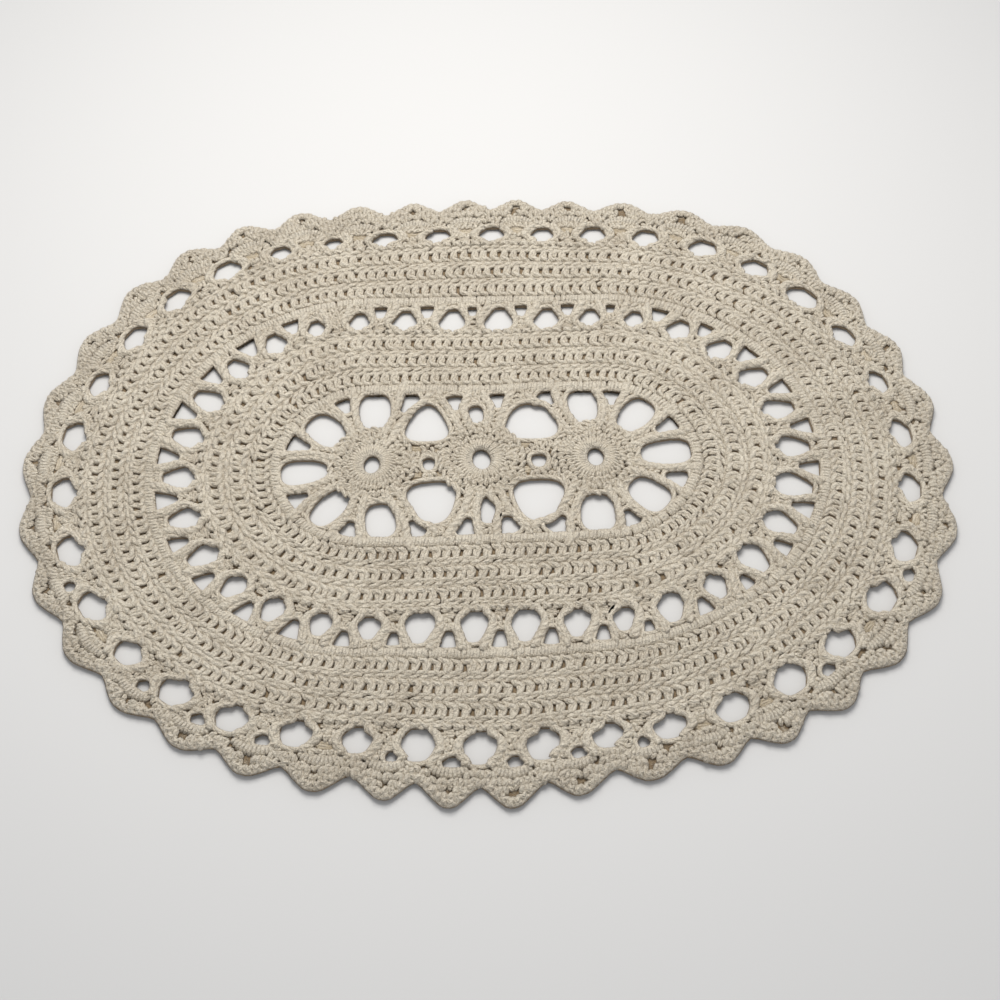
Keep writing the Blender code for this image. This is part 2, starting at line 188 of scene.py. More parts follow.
SQUARENESS = 0.72             # 1 gives an ellipse, less a rounded box


def placed(x, y, angle, ahead, left=0.0):
    """The point so far ahead and to the left of (x, y), facing the angle."""
    c, s = math.cos(angle), math.sin(angle)
    return x + ahead * c - left * s, y + ahead * s + left * c


def field_hole(x, y, turn, length, near, far, points):
    """Rounded, tapered outline of one hole of the middle field."""
    ring = []
    for k in range(points):
        a = 2.0 * math.pi * (k + 0.5) / points
        u = math.copysign(abs(math.cos(a)) ** SQUARENESS, math.cos(a)) * length / 2.0
        w = near + (far - near) * (u / length + 0.5)
        v = math.copysign(abs(math.sin(a)) ** SQUARENESS, math.sin(a)) * w / 2.0
        ring.append(placed(x, y, math.radians(turn), u, v))
    return ring


holes = []
for row in FIELD_GAPS + FORK_GAPS + JOIN_EYES + ROSETTE_EYES:
    holes.append(field_hole(*row, 16 if row[3] > 12.0 else 12))
print("holes in the middle field", len(holes))

# %% Holes of the lace and the edging
# the two rounds of posts: mean radius, inner edge and outer edge
LACE, EDGING = (LACE_REF, "inner_band", "lace"), (EDGING_REF, "outer_band", "edging")
LACE_START, EDGING_START = 0.0051, 0.0085   # way round at the first post
END_SPREAD, END_PHASE = 0.0082, 0.23        # the edging posts stand wider at the ends
LACE_LEAN, LACE_TRAIL, ARCH_AHEAD = -1.6, -0.4, 2.4   # mm along the round
SPACING_REF, ARCH_DEPTH = 30.5, 11.0        # mm

# level (0 at the inner edge of the round, 1 at the outer) and half width, mm
LACE_LARGE = ((0.0, 3.0), (0.1, 5.3), (0.3, 6.4), (0.55, 4.5), (0.82, 1.9))
LACE_SMALL = ((0.53, 0.6), (0.78, 2.4), (0.98, 3.6))
EDGING_LARGE = ((0.02, 3.8), (0.32, 7.6), (0.62, 6.9), (0.95, 3.6))
ARCH = ((-0.2, 1.2), (0.0, 3.2), (0.14, 2.2))
FOOT = ((-0.14, 2.9), (0.05, 1.4))
OPEN_FEET = ((LACE_REF, 2), (EDGING_REF, 0))

# The hand is uneven. For each lace post: mm it stands along, size of the hole
# in its fork (0 is shut), mm the large hole after it stands along, its size.
LACE_HAND = (
    (0.5, 0.9, 0.5, 1.05), (0.5, 0.9, 0.5, 0.95), (0.5, 0.85, -1.5, 0.8), (-2.5, 0.6, -2.0, 1.05),
    (1.0, 1.0, -0.5, 0.9), (1.0, 0.8, 1.0, 1.05), (2.5, 0.9, 2.0, 1.0), (2.0, 1.1, 1.5, 1.1),
    (0.5, 1.0, 0.5, 0.95), (-0.5, 1.05, 0.0, 0.95), (-1.0, 1.1, -1.0, 0.95), (-0.5, 1.15, -1.0, 0.95),
    (0.0, 1.0, -0.5, 0.95), (0.5, 1.1, 0.0, 0.75), (1.0, 0.6, -0.5, 0.8), (-0.5, 0.9, -1.5, 1.0),
    (0.0, 0.85, -0.5, 1.15), (1.5, 0.65, 0.0, 1.05), (1.5, 0.95, 1.0, 0.95), (2.0, 0.9, 1.0, 0.8),
    (0.5, 0.0, 0.0, 0.7), (-0.5, 1.1, -1.0, 0.9), (-0.5, 1.3, -0.5, 0.85), (-1.0, 1.15, 0.0, 1.0),
    (-1.0, 1.25, 0.0, 0.95), (0.5, 1.15, 0.5, 0.95), (0.5, 1.2, 1.0, 0.9), (1.0, 0.95, 1.0, 0.9),
    (0.5, 1.0, 0.5, 0.8), (1.5, 1.1, 0.0, 0.85), (0.5, 1.2, 0.5, 0.8), (0.0, 0.9, -0.5, 0.8),
    (-1.0, 0.75, -1.0, 1.1), (0.5, 0.95, 0.5, 1.0),
)
LACE_POSTS = len(LACE_HAND)
print("lace posts", LACE_POSTS)

# %% Unevenness of the edging
# For each edging post: size of its arch (0 is shut), mm the large hole after
# it stands along, and the size of that hole.
EDGING_HAND = (
    (1.0, 0.0, 1.0), (1.0, 0.5, 0.9), (0.65, 0.0, 1.0), (0.0, 1.0, 1.05), (0.0, 1.5, 1.05),
    (0.95, 1.5, 0.95), (0.0, 1.5, 1.0), (1.0, -1.0, 0.95), (0.0, -0.5, 0.9), (0.0, -1.5, 0.95),
    (0.0, -2.0, 0.8), (0.0, -1.5, 0.9), (0.0, -1.5, 1.1), (0.0, -2.0, 0.9), (0.0, -2.0, 0.95),
    (0.0, 0.5, 0.9), (0.0, 1.0, 0.9), (0.0, 0.5, 0.8), (0.0, 0.0, 0.9), (0.0, 1.0, 0.9),
    (0.0, 1.5, 0.9), (0.0, 1.0, 0.65), (0.0, 0.5, 0.7), (0.0, 0.0, 0.95), (0.0, 0.0, 1.0),
    (0.0, -1.0, 0.95), (0.0, -0.5, 0.85), (0.0, -0.5, 0.95), (0.0, -0.5, 0.95), (0.0, 0.5, 1.0),
    (0.65, 1.5, 1.0), (0.0, 1.0, 0.85), (0.8, 1.0, 1.0), (0.95, 0.5, 0.95), (0.9, 2.0, 0.95),
    (0.0, 1.5, 0.9), (0.65, 0.5, 1.05), (1.4, 0.0, 1.0),
)
EDGING_POSTS = len(EDGING_HAND)


def lace_way(post):
    """Way round at a lace post."""
    return LACE_START + post / LACE_POSTS + LACE_HAND[post][0] / LACE_LENGTH


def lace_hole_way(post):
    """Way round at the large hole after a lace post."""
    even = LACE_START + (post + 0.5) / LACE_POSTS
    return even + (LACE_TRAIL + LACE_HAND[post][2]) / LACE_LENGTH


def edging_even(post):
    """Way round at an edging post before the hand moves it."""
    way = post / EDGING_POSTS
    return way + EDGING_START - END_SPREAD * math.sin(4.0 * math.pi * way + END_PHASE)


def edging_way(post):
    """Way round at an edging post, which goes with the holes beside it."""
    moved = 0.5 * (EDGING_HAND[(post - 1) % EDGING_POSTS][1] + EDGING_HAND[post % EDGING_POSTS][1])
    return edging_even(post) + moved / EDGING_LENGTH


def edging_hole_way(post):
    """Way round at the large hole after an edging post."""
    even = 0.5 * (edging_even(post) + edging_even(post + 1))
    return even + EDGING_HAND[post % EDGING_POSTS][1] / EDGING_LENGTH


print("edging posts", EDGING_POSTS)

# %% Outlines of those holes
def sized(outline, size, widen=1.0):
    """A half outline made larger or smaller about its own middle level."""
    middle = 0.5 * (outline[0][0] + outline[-1][0])
    return [(middle + (level - middle) * size, half * size * widen) for level, half in outline]


def edging_widen(post):
    """The large holes of the edging are as much wider as their posts stand apart."""
    return (edging_even(post + 1) - edging_even(post)) * EDGING_LENGTH / SPACING_REF


def round_hole(way, ref, inner, outer, half_outline):
    """Outline of a hole in a round of posts, mirrored, then leaned over."""
    low, high = edge(inner, way), edge(outer, way)
    ring = []
    for level, half in list(half_outline) + [(lv, -h) for lv, h in reversed(half_outline)]:
        along = half + LACE_LEAN * (level - 0.5)
        ring.append(spot(way + along / round_length(ref), low + (high - low) * level, ref))
    return ring


for post, (_, fork, _, large) in enumerate(LACE_HAND):
    holes.append(round_hole(lace_hole_way(post), *LACE, sized(LACE_LARGE, large)))
    if fork:
        holes.append(round_hole(lace_way(post), *LACE, sized(LACE_SMALL, fork)))
    if (LACE_REF, post) in OPEN_FEET:
        holes.append(round_hole(lace_way(post), *LACE, FOOT))
for post, (arch_size, _, large) in enumerate(EDGING_HAND):
    outline = sized(EDGING_LARGE, large, edging_widen(post))
    holes.append(round_hole(edging_hole_way(post), *EDGING, outline))
    way = edging_way(post)
    if arch_size:
        low, high = edge("outer_band", way), edge("edging", way)
        arch = [(1.0 + level * ARCH_DEPTH / (high - low), half * arch_size) for level, half in ARCH]
        ahead = way + ARCH_AHEAD / EDGING_LENGTH
        holes.append(round_hole(ahead, *EDGING, arch))
    if (EDGING_REF, post) in OPEN_FEET:
        holes.append(round_hole(way, *EDGING, FOOT))
print("holes in all", len(holes))

# %% [markdown]
# ## The scalloped rim
#
# Each of the 38 shells is a fan of stitches between two valleys. The rim is
# the outline of the fans, one after the other round the mat.

# %% Outline of the rim
# share of the way across a shell, height between its valley (0) and its tip (1)
SHELL_OUTLINE = (
    (0.0, -0.06), (0.2, 0.46), (0.37, 0.92), (0.5, 1.0), (0.63, 0.88), (0.8, 0.42), (1.0, -0.06),
)


def shell_sides(post):
    """Ways round at the two valleys beside a shell."""
    before, here, after = (edging_even(post + k) for k in (-1, 0, 1))
    return 0.5 * (before + here), 0.5 * (here + after)


def rim_out(way, across):
    """How far out the rim is at a share of the way across a shell."""
    valley, tip = edge("valley", way), edge("tip", way)
    return valley + (tip - valley) * float(np.interp(across, *zip(*SHELL_OUTLINE)))


def shifted(way):
    """The shells sit a little along from the posts that carry them."""
    return way + edge("shell_shift", way) / EDGING_LENGTH


rim = []
for post in range(EDGING_POSTS):
    left, right = shell_sides(post)
    for across, _ in SHELL_OUTLINE[:-1]:
        way = shifted(left + (right - left) * across)
        rim.append(spot(way, rim_out(way, across), EDGING_REF))
print("points on the rim", len(rim))

# %% [markdown]
# ## Camera
#
# The mat lies on a table and is looked at from the near side, 60 degrees above
# the table, from a little over two thirds of a metre. A camera that is only
# turned, with no shift, keeps the same framing in every other view.

# %% Camera
def add_object(name, data):
    """Puts a mesh, a lamp or a camera in the scene as an object."""
    made = bpy.data.objects.new(name, data)
    bpy.context.scene.collection.objects.link(made)
    return made


TARGET = Vector((5.7, -18.05, 2.0)) * MM
DISTANCE, ELEVATION, AZIMUTH, ROLL = 0.685, 60.0, 0.85, -0.82

el, az = math.radians(ELEVATION), math.radians(AZIMUTH)
aim = Vector((-math.sin(az) * math.cos(el), -math.cos(az) * math.cos(el), math.sin(el)))
lens = bpy.data.cameras.new("table_camera")
lens.sensor_width, lens.lens = 36.0, 51.66
lens.clip_start, lens.clip_end = 0.01, 20.0
camera = add_object("table_camera", lens)
turn = (-aim).to_track_quat("-Z", "Y").to_matrix() @ Matrix.Rotation(math.radians(ROLL), 3, "Z")
camera.matrix_world = Matrix.Translation(TARGET + aim * DISTANCE) @ turn.to_4x4()
bpy.context.scene.camera = camera
print("camera stands at", [round(c, 3) for c in camera.location])

# %% [markdown]
# ## Light
#
# White thread on a pale table needs light that is soft but comes from one side,
# or the stitches look flat. One panel high over the far half of the mat does
# most of it, a weak one fills from the near side, and a pale sky lifts the
# shadows. The panel is so near that the light fades towards the near edge.

# %% Light and table
def light_panel(name, place, size, watts, tint):
    """A square lamp that faces the mat."""
    lamp = bpy.data.lights.new(name, "AREA")
    lamp.shape, lamp.size, lamp.energy, lamp.color = "SQUARE", size, watts, tint
    panel = add_object(name, lamp)
    panel.location = place
    panel.rotation_euler = (-Vector(place)).to_track_quat("-Z", "Y").to_euler()


light_panel("key_panel", (-0.03, 0.27, 0.66), 0.4, 5.2, (1.0, 0.985, 0.96))
light_panel("fill_panel", (0.8, -0.9, 1.0), 1.2, 1.0, (0.96, 0.98, 1.0))
sky = bpy.data.worlds.new("pale_sky")
sky.use_nodes = True
backdrop = sky.node_tree.nodes["Background"]
backdrop.inputs["Color"].default_value = (0.92, 0.95, 1.0, 1.0)
backdrop.inputs["Strength"].default_value = 0.54
bpy.context.scene.world = sky
bpy.context.scene.view_settings.view_transform = "Standard"

table_mesh = bpy.data.meshes.new("table_top")
table_mesh.from_pydata([(-3, -3, 0), (3, -3, 0), (3, 3, 0), (-3, 3, 0)], [], [(0, 1, 2, 3)])
table = add_object("table_top", table_mesh)
table.location.z = -0.0003

# %% Table finish
pale = bpy.data.materials.new("pale_table")
pale.use_nodes = True
tree = pale.node_tree
cloud = tree.nodes.new("ShaderNodeTexNoise")
cloud.inputs["Scale"].default_value = 3.0
mix = tree.nodes.new("ShaderNodeMix")
mix.data_type = "RGBA"
mix.inputs["A"].default_value = (0.60, 0.59, 0.575, 1.0)
mix.inputs["B"].default_value = (0.64, 0.63, 0.615, 1.0)
tree.links.new(cloud.outputs["Fac"], mix.inputs["Factor"])
tree.links.new(mix.outputs["Result"], tree.nodes["Principled BSDF"].inputs["Base Color"])
tree.nodes["Principled BSDF"].inputs["Roughness"].default_value = 0.8
table_mesh.materials.append(pale)
print("table finish made")

# %% [markdown]
# ## Spun cotton
#
# The yarn is three plies twisted together. On each tube U runs along the yarn
# and V round it, so a slanted wave in U and V draws the plies. The same group
# gives the colour, and paints shade into it: creamier and darker the lower a
# point lies, down between the threads where less light reaches, and darker in
# the dips between the plies. A node group keeps all this in one place, so that
# other materials of the mat can use it too.

# %% Node group for the yarn
def join(tree, kind, *inputs, **settings):
    """Adds a node, sets it, and feeds its inputs in order. None leaves one be."""
    node = tree.nodes.new(kind)
    for name, value in settings.items():
        setattr(node, name, value)
    for socket, value in zip(node.inputs, inputs):
        if isinstance(value, bpy.types.NodeSocket):
            tree.links.new(value, socket)
        elif value is not None:
            socket.default_value = value
    return node


spun = bpy.data.node_groups.new("Spun cotton", "ShaderNodeTree")
for name, kind, value in (
    ("Light", "NodeSocketColor", (0.80, 0.72, 0.58, 1.0)),
    # Deep is the colour of painted shade, mixed in the lower a point lies
    ("Deep", "NodeSocketColor", (0.30, 0.23, 0.15, 1.0)),
    ("Ply turn mm", "NodeSocketFloat", 5.0),
    ("Deep below mm", "NodeSocketFloat", 1.75),
    ("Light above mm", "NodeSocketFloat", 3.35),
):
    spun.interface.new_socket(name, in_out="INPUT", socket_type=kind).default_value = value
for name, kind in (
    ("Colour", "NodeSocketColor"), ("Height", "NodeSocketFloat"), ("Roughness", "NodeSocketFloat"),
):
    spun.interface.new_socket(name, in_out="OUTPUT", socket_type=kind)
start = spun.nodes.new("NodeGroupInput")
end = spun.nodes.new("NodeGroupOutput")

yarn_map = join(spun, "ShaderNodeUVMap", uv_map="yarn")
sides = join(spun, "ShaderNodeSeparateXYZ", yarn_map.outputs[0])
place_now = join(spun, "ShaderNodeTexCoord")
height_now = join(spun, "ShaderNodeSeparateXYZ", place_now.outputs["Object"])


def maths(operation, *values, **settings):
    """One sum in the group; gives its result."""
    return join(spun, "ShaderNodeMath", *values, operation=operation, **settings).outputs[0]


def noise(scale, detail):
    """Soft random spots, larger for a smaller scale."""
    node = join(spun, "ShaderNodeTexNoise", place_now.outputs["Object"])
    node.inputs["Scale"].default_value, node.inputs["Detail"].default_value = scale, detail
    return node.outputs["Fac"]


def ramp(*values, **settings):
    """Maps a value from one range (two numbers) to another (two more)."""
    return join(spun, "ShaderNodeMapRange", *values, **settings).outputs[0]


print("nodes for a place on the yarn", len(spun.nodes))

# %% Plies, fluff and colour
along = maths("DIVIDE", sides.outputs["X"], start.outputs["Ply turn mm"])
around = maths("MULTIPLY", sides.outputs["Y"], 3.0)
spiral = maths("ADD", around, along)
ply = maths("ABSOLUTE", maths("SINE", maths("MULTIPLY", spiral, math.pi)))
fluff, clouds, lumps = noise(2000.0, 2.0), noise(55.0, 3.0), noise(650.0, 1.0)
knotted = maths("ADD", maths("MULTIPLY", fluff, 2.2), maths("MULTIPLY", lumps, 3.0))
relief = maths("ADD", maths("MULTIPLY", ply, 0.8), knotted)
millimetres = maths("MULTIPLY", height_now.outputs["Z"], 1000.0)
limits = (start.outputs["Deep below mm"], start.outputs["Light above mm"])
# painted shade: the lower a point lies, the more of the Deep colour
shade = ramp(millimetres, *limits, 1.0, 0.0, interpolation_type="SMOOTHSTEP")
# painted shade down in the dips between the plies
groove = ramp(ply, 0.0, 0.6, 0.3, 0.0)
patch = ramp(clouds, 0.38, 0.66, 0.0, 0.16)
speck = ramp(fluff, 0.38, 0.62, 0.0, 0.34)
# painted shade from height and ply dips, plus random patches and specks of tone
shade_and_mottle = maths("ADD", maths("ADD", shade, groove), maths("ADD", patch, speck), use_clamp=True)
colour = spun.nodes.new("ShaderNodeMix")
colour.data_type = "RGBA"
spun.links.new(shade_and_mottle, colour.inputs["Factor"])
spun.links.new(start.outputs["Light"], colour.inputs["A"])
spun.links.new(start.outputs["Deep"], colour.inputs["B"])
dull = ramp(shade_and_mottle, 0.0, 1.0, 0.82, 0.98)
spun.links.new(colour.outputs["Result"], end.inputs["Colour"])
spun.links.new(relief, end.inputs["Height"])
spun.links.new(dull, end.inputs["Roughness"])
print("nodes in the yarn group", len(spun.nodes))

# %% [markdown]
# ## Four cottons from one group
#
# The threads and the cloth below are the same yarn in four states, which differ
# mostly in their painted shade: the threads of the mat; the border, a little
# darker all over as painted shade; the low threads in the hollows, whose painted
# shade low down stays lighter; and the cloth, painted dark brown as the shade
# down between the threads, the only place it is seen. Sheen, the soft glow of
# fine fibres at a grazing angle, is one number and stays on the shader itself.

# %% Yarn materials
def cotton(name, light, deep, ply_turn, bump):
    """A Principled material fed by the yarn group."""
    made = bpy.data.materials.new(name)
    made.use_nodes = True
    tree = made.node_tree
    shader = tree.nodes["Principled BSDF"]
    group = tree.nodes.new("ShaderNodeGroup")
    group.node_tree = spun
    group.inputs["Light"].default_value = light
    group.inputs["Deep"].default_value = deep
    group.inputs["Ply turn mm"].default_value = ply_turn
    raised = tree.nodes.new("ShaderNodeBump")
    raised.inputs["Strength"].default_value = bump
    raised.inputs["Distance"].default_value = 0.0008
    tree.links.new(group.outputs["Colour"], shader.inputs["Base Color"])
    tree.links.new(group.outputs["Roughness"], shader.inputs["Roughness"])
    tree.links.new(group.outputs["Height"], raised.inputs["Height"])
    tree.links.new(raised.outputs["Normal"], shader.inputs["Normal"])
    shader.inputs["Sheen Weight"].default_value = 0.18
    shader.inputs["Sheen Roughness"].default_value = 0.6
    return made


# the second colour is painted shade, which the yarn takes low down between the threads
YARN_LIGHT, YARN_PAINTED_SHADE = (0.81, 0.73, 0.59, 1.0), (0.24, 0.17, 0.095, 1.0)
yarn_cotton = cotton("ecru_yarn", YARN_LIGHT, YARN_PAINTED_SHADE, 5.0, 0.8)
# the shells and the rim get a darker colour all over: painted shade, for the shade the border lies in
painted_shade_border_cotton = cotton("ecru_painted_shade_border_yarn", (0.76, 0.685, 0.555, 1.0), YARN_PAINTED_SHADE, 5.0, 0.8)
# the low threads in the hollows get a lighter second colour, so their painted shade is lighter
hollow_cotton = cotton("ecru_hollow_yarn", YARN_LIGHT, (0.34, 0.27, 0.175, 1.0), 5.0, 0.5)
# the cloth is painted dark brown: painted shade, for the shade down in the slits between the threads
painted_shade_ground_cotton = cotton("ecru_painted_shade_ground", (0.19, 0.14, 0.085, 1.0), YARN_PAINTED_SHADE, 5.0, 0.5)
print("materials", yarn_cotton.name, painted_shade_border_cotton.name, hollow_cotton.name, painted_shade_ground_cotton.name)

# %% [markdown]
# ## Winding threads into one mesh
#
# A skein collects the paths of many threads and turns them into one mesh of
# tubes. A smooth curve is run through each path, a ring of points is set
# square to it at every step, and the rings are joined by quads. One mesh for
# many threads is far quicker for Blender than thousands of curve objects.

# %% Waves of the cloth and smooth paths
LIFT = 0.9                    # the border may rise this far off the table, mm


def settle(points):
    """Soft waves of a cloth that lies flat but not pressed, then the move to the origin."""
    x, y = points[:, 0], points[:, 1]
    beyond = np.hypot(np.maximum(np.abs(x) - HALF_STRAIGHT, 0.0), y)
    share = np.clip((beyond - 120.0) / 55.0, 0.0, 1.0) ** 2
    wave = 0.5 + 0.5 * np.sin(0.052 * x + 0.9) * np.cos(0.047 * y - 0.4)
    points[:, 2] += LIFT * share * wave
    points[:, :2] -= MIDDLE
    return points


def smooth_path(path, steps, closed):
    """Runs a smooth curve through the points of a path."""
    p = np.asarray(path, dtype=float)
    if closed:
        p = np.concatenate((p[-1:], p, p[:2]))
    else:
        p = np.concatenate((2 * p[:1] - p[1:2], p, 2 * p[-1:] - p[-2:-1]))
    a, b, c, d = p[:-3, None], p[1:-2, None], p[2:-1, None], p[3:, None]
    t = (np.arange(steps) / steps)[None, :, None]
    q = eased(a, b, c, d, t).reshape(-1, p.shape[1])
    return q if closed else np.concatenate((q, p[-2:-1]))


print("a smooth path of 3 points gets", len(smooth_path([(0.0, 0.0), (1.0, 1.0), (2.0, 0.0)], 2, False)))

# %% The skein
TUBE_SIDES = 6
STEADY = 0.12                 # share of its chord that keeps a tube from rolling over
LOWEST = 0.05                 # no thread lies below this, mm


class Skein:
    """Threads that become one mesh."""

    def __init__(self, name):
        self.name, self.count = name, 0
        self.points, self.quads, self.quad_uv, self.caps, self.centres = [], [], [], [], []

    def add(self, path, thick, steps=2, closed=False):
        """One thread: points (x, y, z) in mm and its radius, one or one each."""
        thick = np.broadcast_to(np.asarray(thick, dtype=float), (len(path),))
        q = smooth_path(np.column_stack((np.asarray(path, dtype=float), thick)), steps, closed)
        centre, radius, n, sides = q[:, :3], q[:, 3], len(q), TUBE_SIDES
        if closed:
            run = np.roll(centre, -1, 0) - np.roll(centre, 1, 0)
        else:
            run = np.gradient(centre, axis=0)
        run /= np.linalg.norm(run, axis=1)[:, None] + 1e-9
        steady, chord = 0.0 if closed else STEADY, centre[-1, :2] - centre[0, :2]
        flat = run[:, :2] + steady * chord / (np.linalg.norm(chord) + 1e-6)
        across = np.column_stack((flat[:, 1], -flat[:, 0], np.zeros(n)))
        across /= np.linalg.norm(across, axis=1)[:, None] + 1e-9
        up = np.cross(across, run)
        up /= np.linalg.norm(up, axis=1)[:, None] + 1e-9
        across = np.cross(run, up)
        angle = 2.0 * np.pi * np.arange(sides) / sides
        ring = across[:, None] * np.cos(angle)[None, :, None] + up[:, None] * np.sin(angle)[None, :, None]
        self.points.append((centre[:, None] + ring * radius[:, None, None]).reshape(-1, 3))
        self.centres.append(centre[:, :2])
        last = centre[:1] if closed else centre[-1:]
        step = np.linalg.norm(np.diff(centre, axis=0, append=last), axis=1)
        far = np.concatenate(([0.0], np.cumsum(step)))
        rows = n if closed else n - 1
        i, j = np.meshgrid(np.arange(rows), np.arange(sides), indexing="ij")
        i2, j2 = (i + 1) % n, (j + 1) % sides
        quad = np.stack((i * sides + j, i2 * sides + j, i2 * sides + j2, i * sides + j2), -1)
        self.quads.append((self.count + quad).reshape(-1, 4))
        u, u2, v, v2 = far[i], far[i + 1], j / sides, (j + 1) / sides
        self.quad_uv.append(np.stack((u, v, u2, v, u2, v2, u, v2), -1).reshape(-1, 4, 2))
        if not closed:
            first = self.count + np.arange(sides)
            self.caps += [first, (self.count + (n - 1) * sides + np.arange(sides))[::-1]]
        self.count += n * sides

    def wind(self, material):
        """Makes the mesh, in metres, with the thread map, and puts it with the thread pieces."""
        points = settle(np.concatenate(self.points))
        points[:, 2] = np.maximum(points[:, 2], LOWEST)
        quads = np.concatenate(self.quads)
        caps = np.array(self.caps).reshape(-1, TUBE_SIDES)
        corners = np.concatenate((quads.ravel(), caps.ravel()))
        sizes = np.concatenate((np.full(len(quads), 4), np.full(len(caps), TUBE_SIDES)))
        mesh = bpy.data.meshes.new(self.name)
        mesh.vertices.add(len(points))
        mesh.vertices.foreach_set("co", (points * MM).ravel())
        mesh.loops.add(len(corners))
        mesh.loops.foreach_set("vertex_index", corners.astype(np.int32))
        mesh.polygons.add(len(sizes))
        starts = np.concatenate(([0], np.cumsum(sizes)[:-1]))
        mesh.polygons.foreach_set("loop_start", starts.astype(np.int32))
        mesh.update(calc_edges=True)
        mesh.validate()
        uv = np.zeros((len(corners), 2))
        uv[: len(quads) * 4] = np.concatenate(self.quad_uv).reshape(-1, 2)
        layer = mesh.uv_layers.new(name="yarn")
        layer.data.foreach_set("uv", uv.ravel())
        mesh.shade_smooth()
        mesh.materials.append(material)
        thread_pieces.append(add_object(self.name, mesh))
        triangles = 2 * len(quads) + len(caps) * (TUBE_SIDES - 2)
        print(self.name, len(self.caps) // 2, "threads", triangles, "triangles")


thread_pieces = []
hand = random.Random(11)      # the small unevenness of a hand, the same each run


def uneven(amount):
    return hand.gauss(0.0, amount)


# %% [markdown]
# ## The ground cloth
#
# Between and below the threads lies the rest of the yarn. It is one thin sheet
# with all the holes in it, cut a little short of every edge so that only
# threads make the outline. Its triangles come from a triangulation of the
# outlines, which fills any shape with holes without hand work.

# %% Ground cloth
GROUND_LOW, GROUND_HIGH = 0.7, 1.9      # heights of its two faces, mm
SHORT_OF_EDGE = 0.9                     # mm


def moved_out(ring, by):
    """A closed outline grown by so many mm, or shrunk by a negative number."""
    p = np.array(ring)
    run = np.roll(p, -1, 0) - np.roll(p, 1, 0)
    run /= np.linalg.norm(run, axis=1)[:, None]
    area = 0.5 * np.sum(p[:, 0] * np.roll(p[:, 1], -1) - np.roll(p[:, 0], -1) * p[:, 1])
    return p + by * math.copysign(1.0, area) * np.column_stack((run[:, 1], -run[:, 0]))


def inside(points, ring):
    """For many points at once: True where a point lies inside a closed outline."""
    x, y = points[:, 0], points[:, 1]
    hit = np.zeros(len(points), dtype=bool)
    for (ax, ay), (bx, by) in zip(ring, np.roll(ring, -1, 0)):
        if ay != by:
            hit ^= ((ay > y) != (by > y)) & (x < ax + (bx - ax) * (y - ay) / (by - ay))
    return hit


outlines = [moved_out(rim, -SHORT_OF_EDGE)] + [moved_out(hole, SHORT_OF_EDGE) for hole in holes]
inner_loops = []
for low, high, ref, count in (("field", "inner_band", 60.0, 90), ("lace", "outer_band", 118.0, 150)):
    for level in (0.2, 0.4, 0.6, 0.8):
        loop = []
        for k in range(count):
            way = (k + 0.5) / count
            a, b = edge(low, way, ref), edge(high, way, ref)
            loop.append(spot(way, a + (b - a) * level, ref))
        inner_loops.append(np.array(loop))

flat_points, flat_edges = [], []
for loop in outlines + inner_loops:
    base = len(flat_points)
    flat_points += [Vector(p) for p in loop]
    flat_edges += [(base + k, base + (k + 1) % len(loop)) for k in range(len(loop))]
verts, _, faces, _, _, _ = delaunay_2d_cdt(flat_points, flat_edges, [], 0, 1e-5)
middles = np.array([(sum(verts[i].x for i in f) / 3.0, sum(verts[i].y for i in f) / 3.0) for f in faces])
solid = inside(middles, outlines[0])
for outline in outlines[1:]:
    near = np.flatnonzero(np.all((middles > outline.min(0)) & (middles < outline.max(0)), axis=1))
    solid[near[inside(middles[near], outline)]] = False
kept = [face for face, keep in zip(faces, solid) if keep]
used = sorted({i for face in kept for i in face})
index = {v: k for k, v in enumerate(used)}
faces_of_cloth = (GROUND_LOW, GROUND_HIGH)
both = settle(np.array([(verts[i].x, verts[i].y, height) for height in faces_of_cloth for i in used]))
shift = len(used)
polygons = [tuple(index[i] + shift for i in face) for face in kept]
polygons += [tuple(reversed([index[i] for i in face])) for face in kept]
directed = {(a, b) for face in kept for a, b in zip(face, face[1:] + face[:1])}
for a, b in sorted(directed):
    if (b, a) not in directed:
        polygons.append((index[a], index[b], index[b] + shift, index[a] + shift))
mesh = bpy.data.meshes.new("ground_cloth")
mesh.from_pydata((both * MM).tolist(), [], polygons)
mesh.validate()
layer = mesh.uv_layers.new(name="yarn")
for loop in mesh.loops:
    co = mesh.vertices[loop.vertex_index].co
    layer.data[loop.index].uv = (co.x * 1000.0, co.y * 400.0)
# its dark brown colour is painted shade for the slits
mesh.materials.append(painted_shade_ground_cotton)
ground = add_object("ground_cloth", mesh)
sheet_area = sum(p.area for p in mesh.polygons) / 2.0
print("ground cloth", len(mesh.polygons), "faces,", round(sheet_area, 4), "square metres a side")

# %% [markdown]
# ## A map of the mat
#
# Some steps later need a quick answer to "is this place a hole?" or "does a
# thread lie here already?". A map of half millimetre squares answers both. It
# is an array of True and False, filled in once for each outline.

# %% Map of half millimetre squares
SQUARE = 0.5                  # mm
COLS, ROWS = 940, 740
STITCH_ROOM = 3.8             # mm from the edge of a hole to the middle of a V stitch


def square_at(points):
    """Column and row of the square that holds each point."""
    return np.round(np.asarray(points) / SQUARE).astype(int) + (COLS // 2, ROWS // 2)


def mark(squares, ring):
    """Sets True the squares inside an outline."""
    (left, low), (right, high) = square_at(ring.min(0)), square_at(ring.max(0))
    i, j = np.meshgrid(np.arange(left, right + 1), np.arange(low, high + 1), indexing="ij")
    points = (np.stack((i.ravel(), j.ravel()), -1) - (COLS // 2, ROWS // 2)) * SQUARE
    hit = inside(points, ring)
    squares[i.ravel()[hit], j.ravel()[hit]] = True


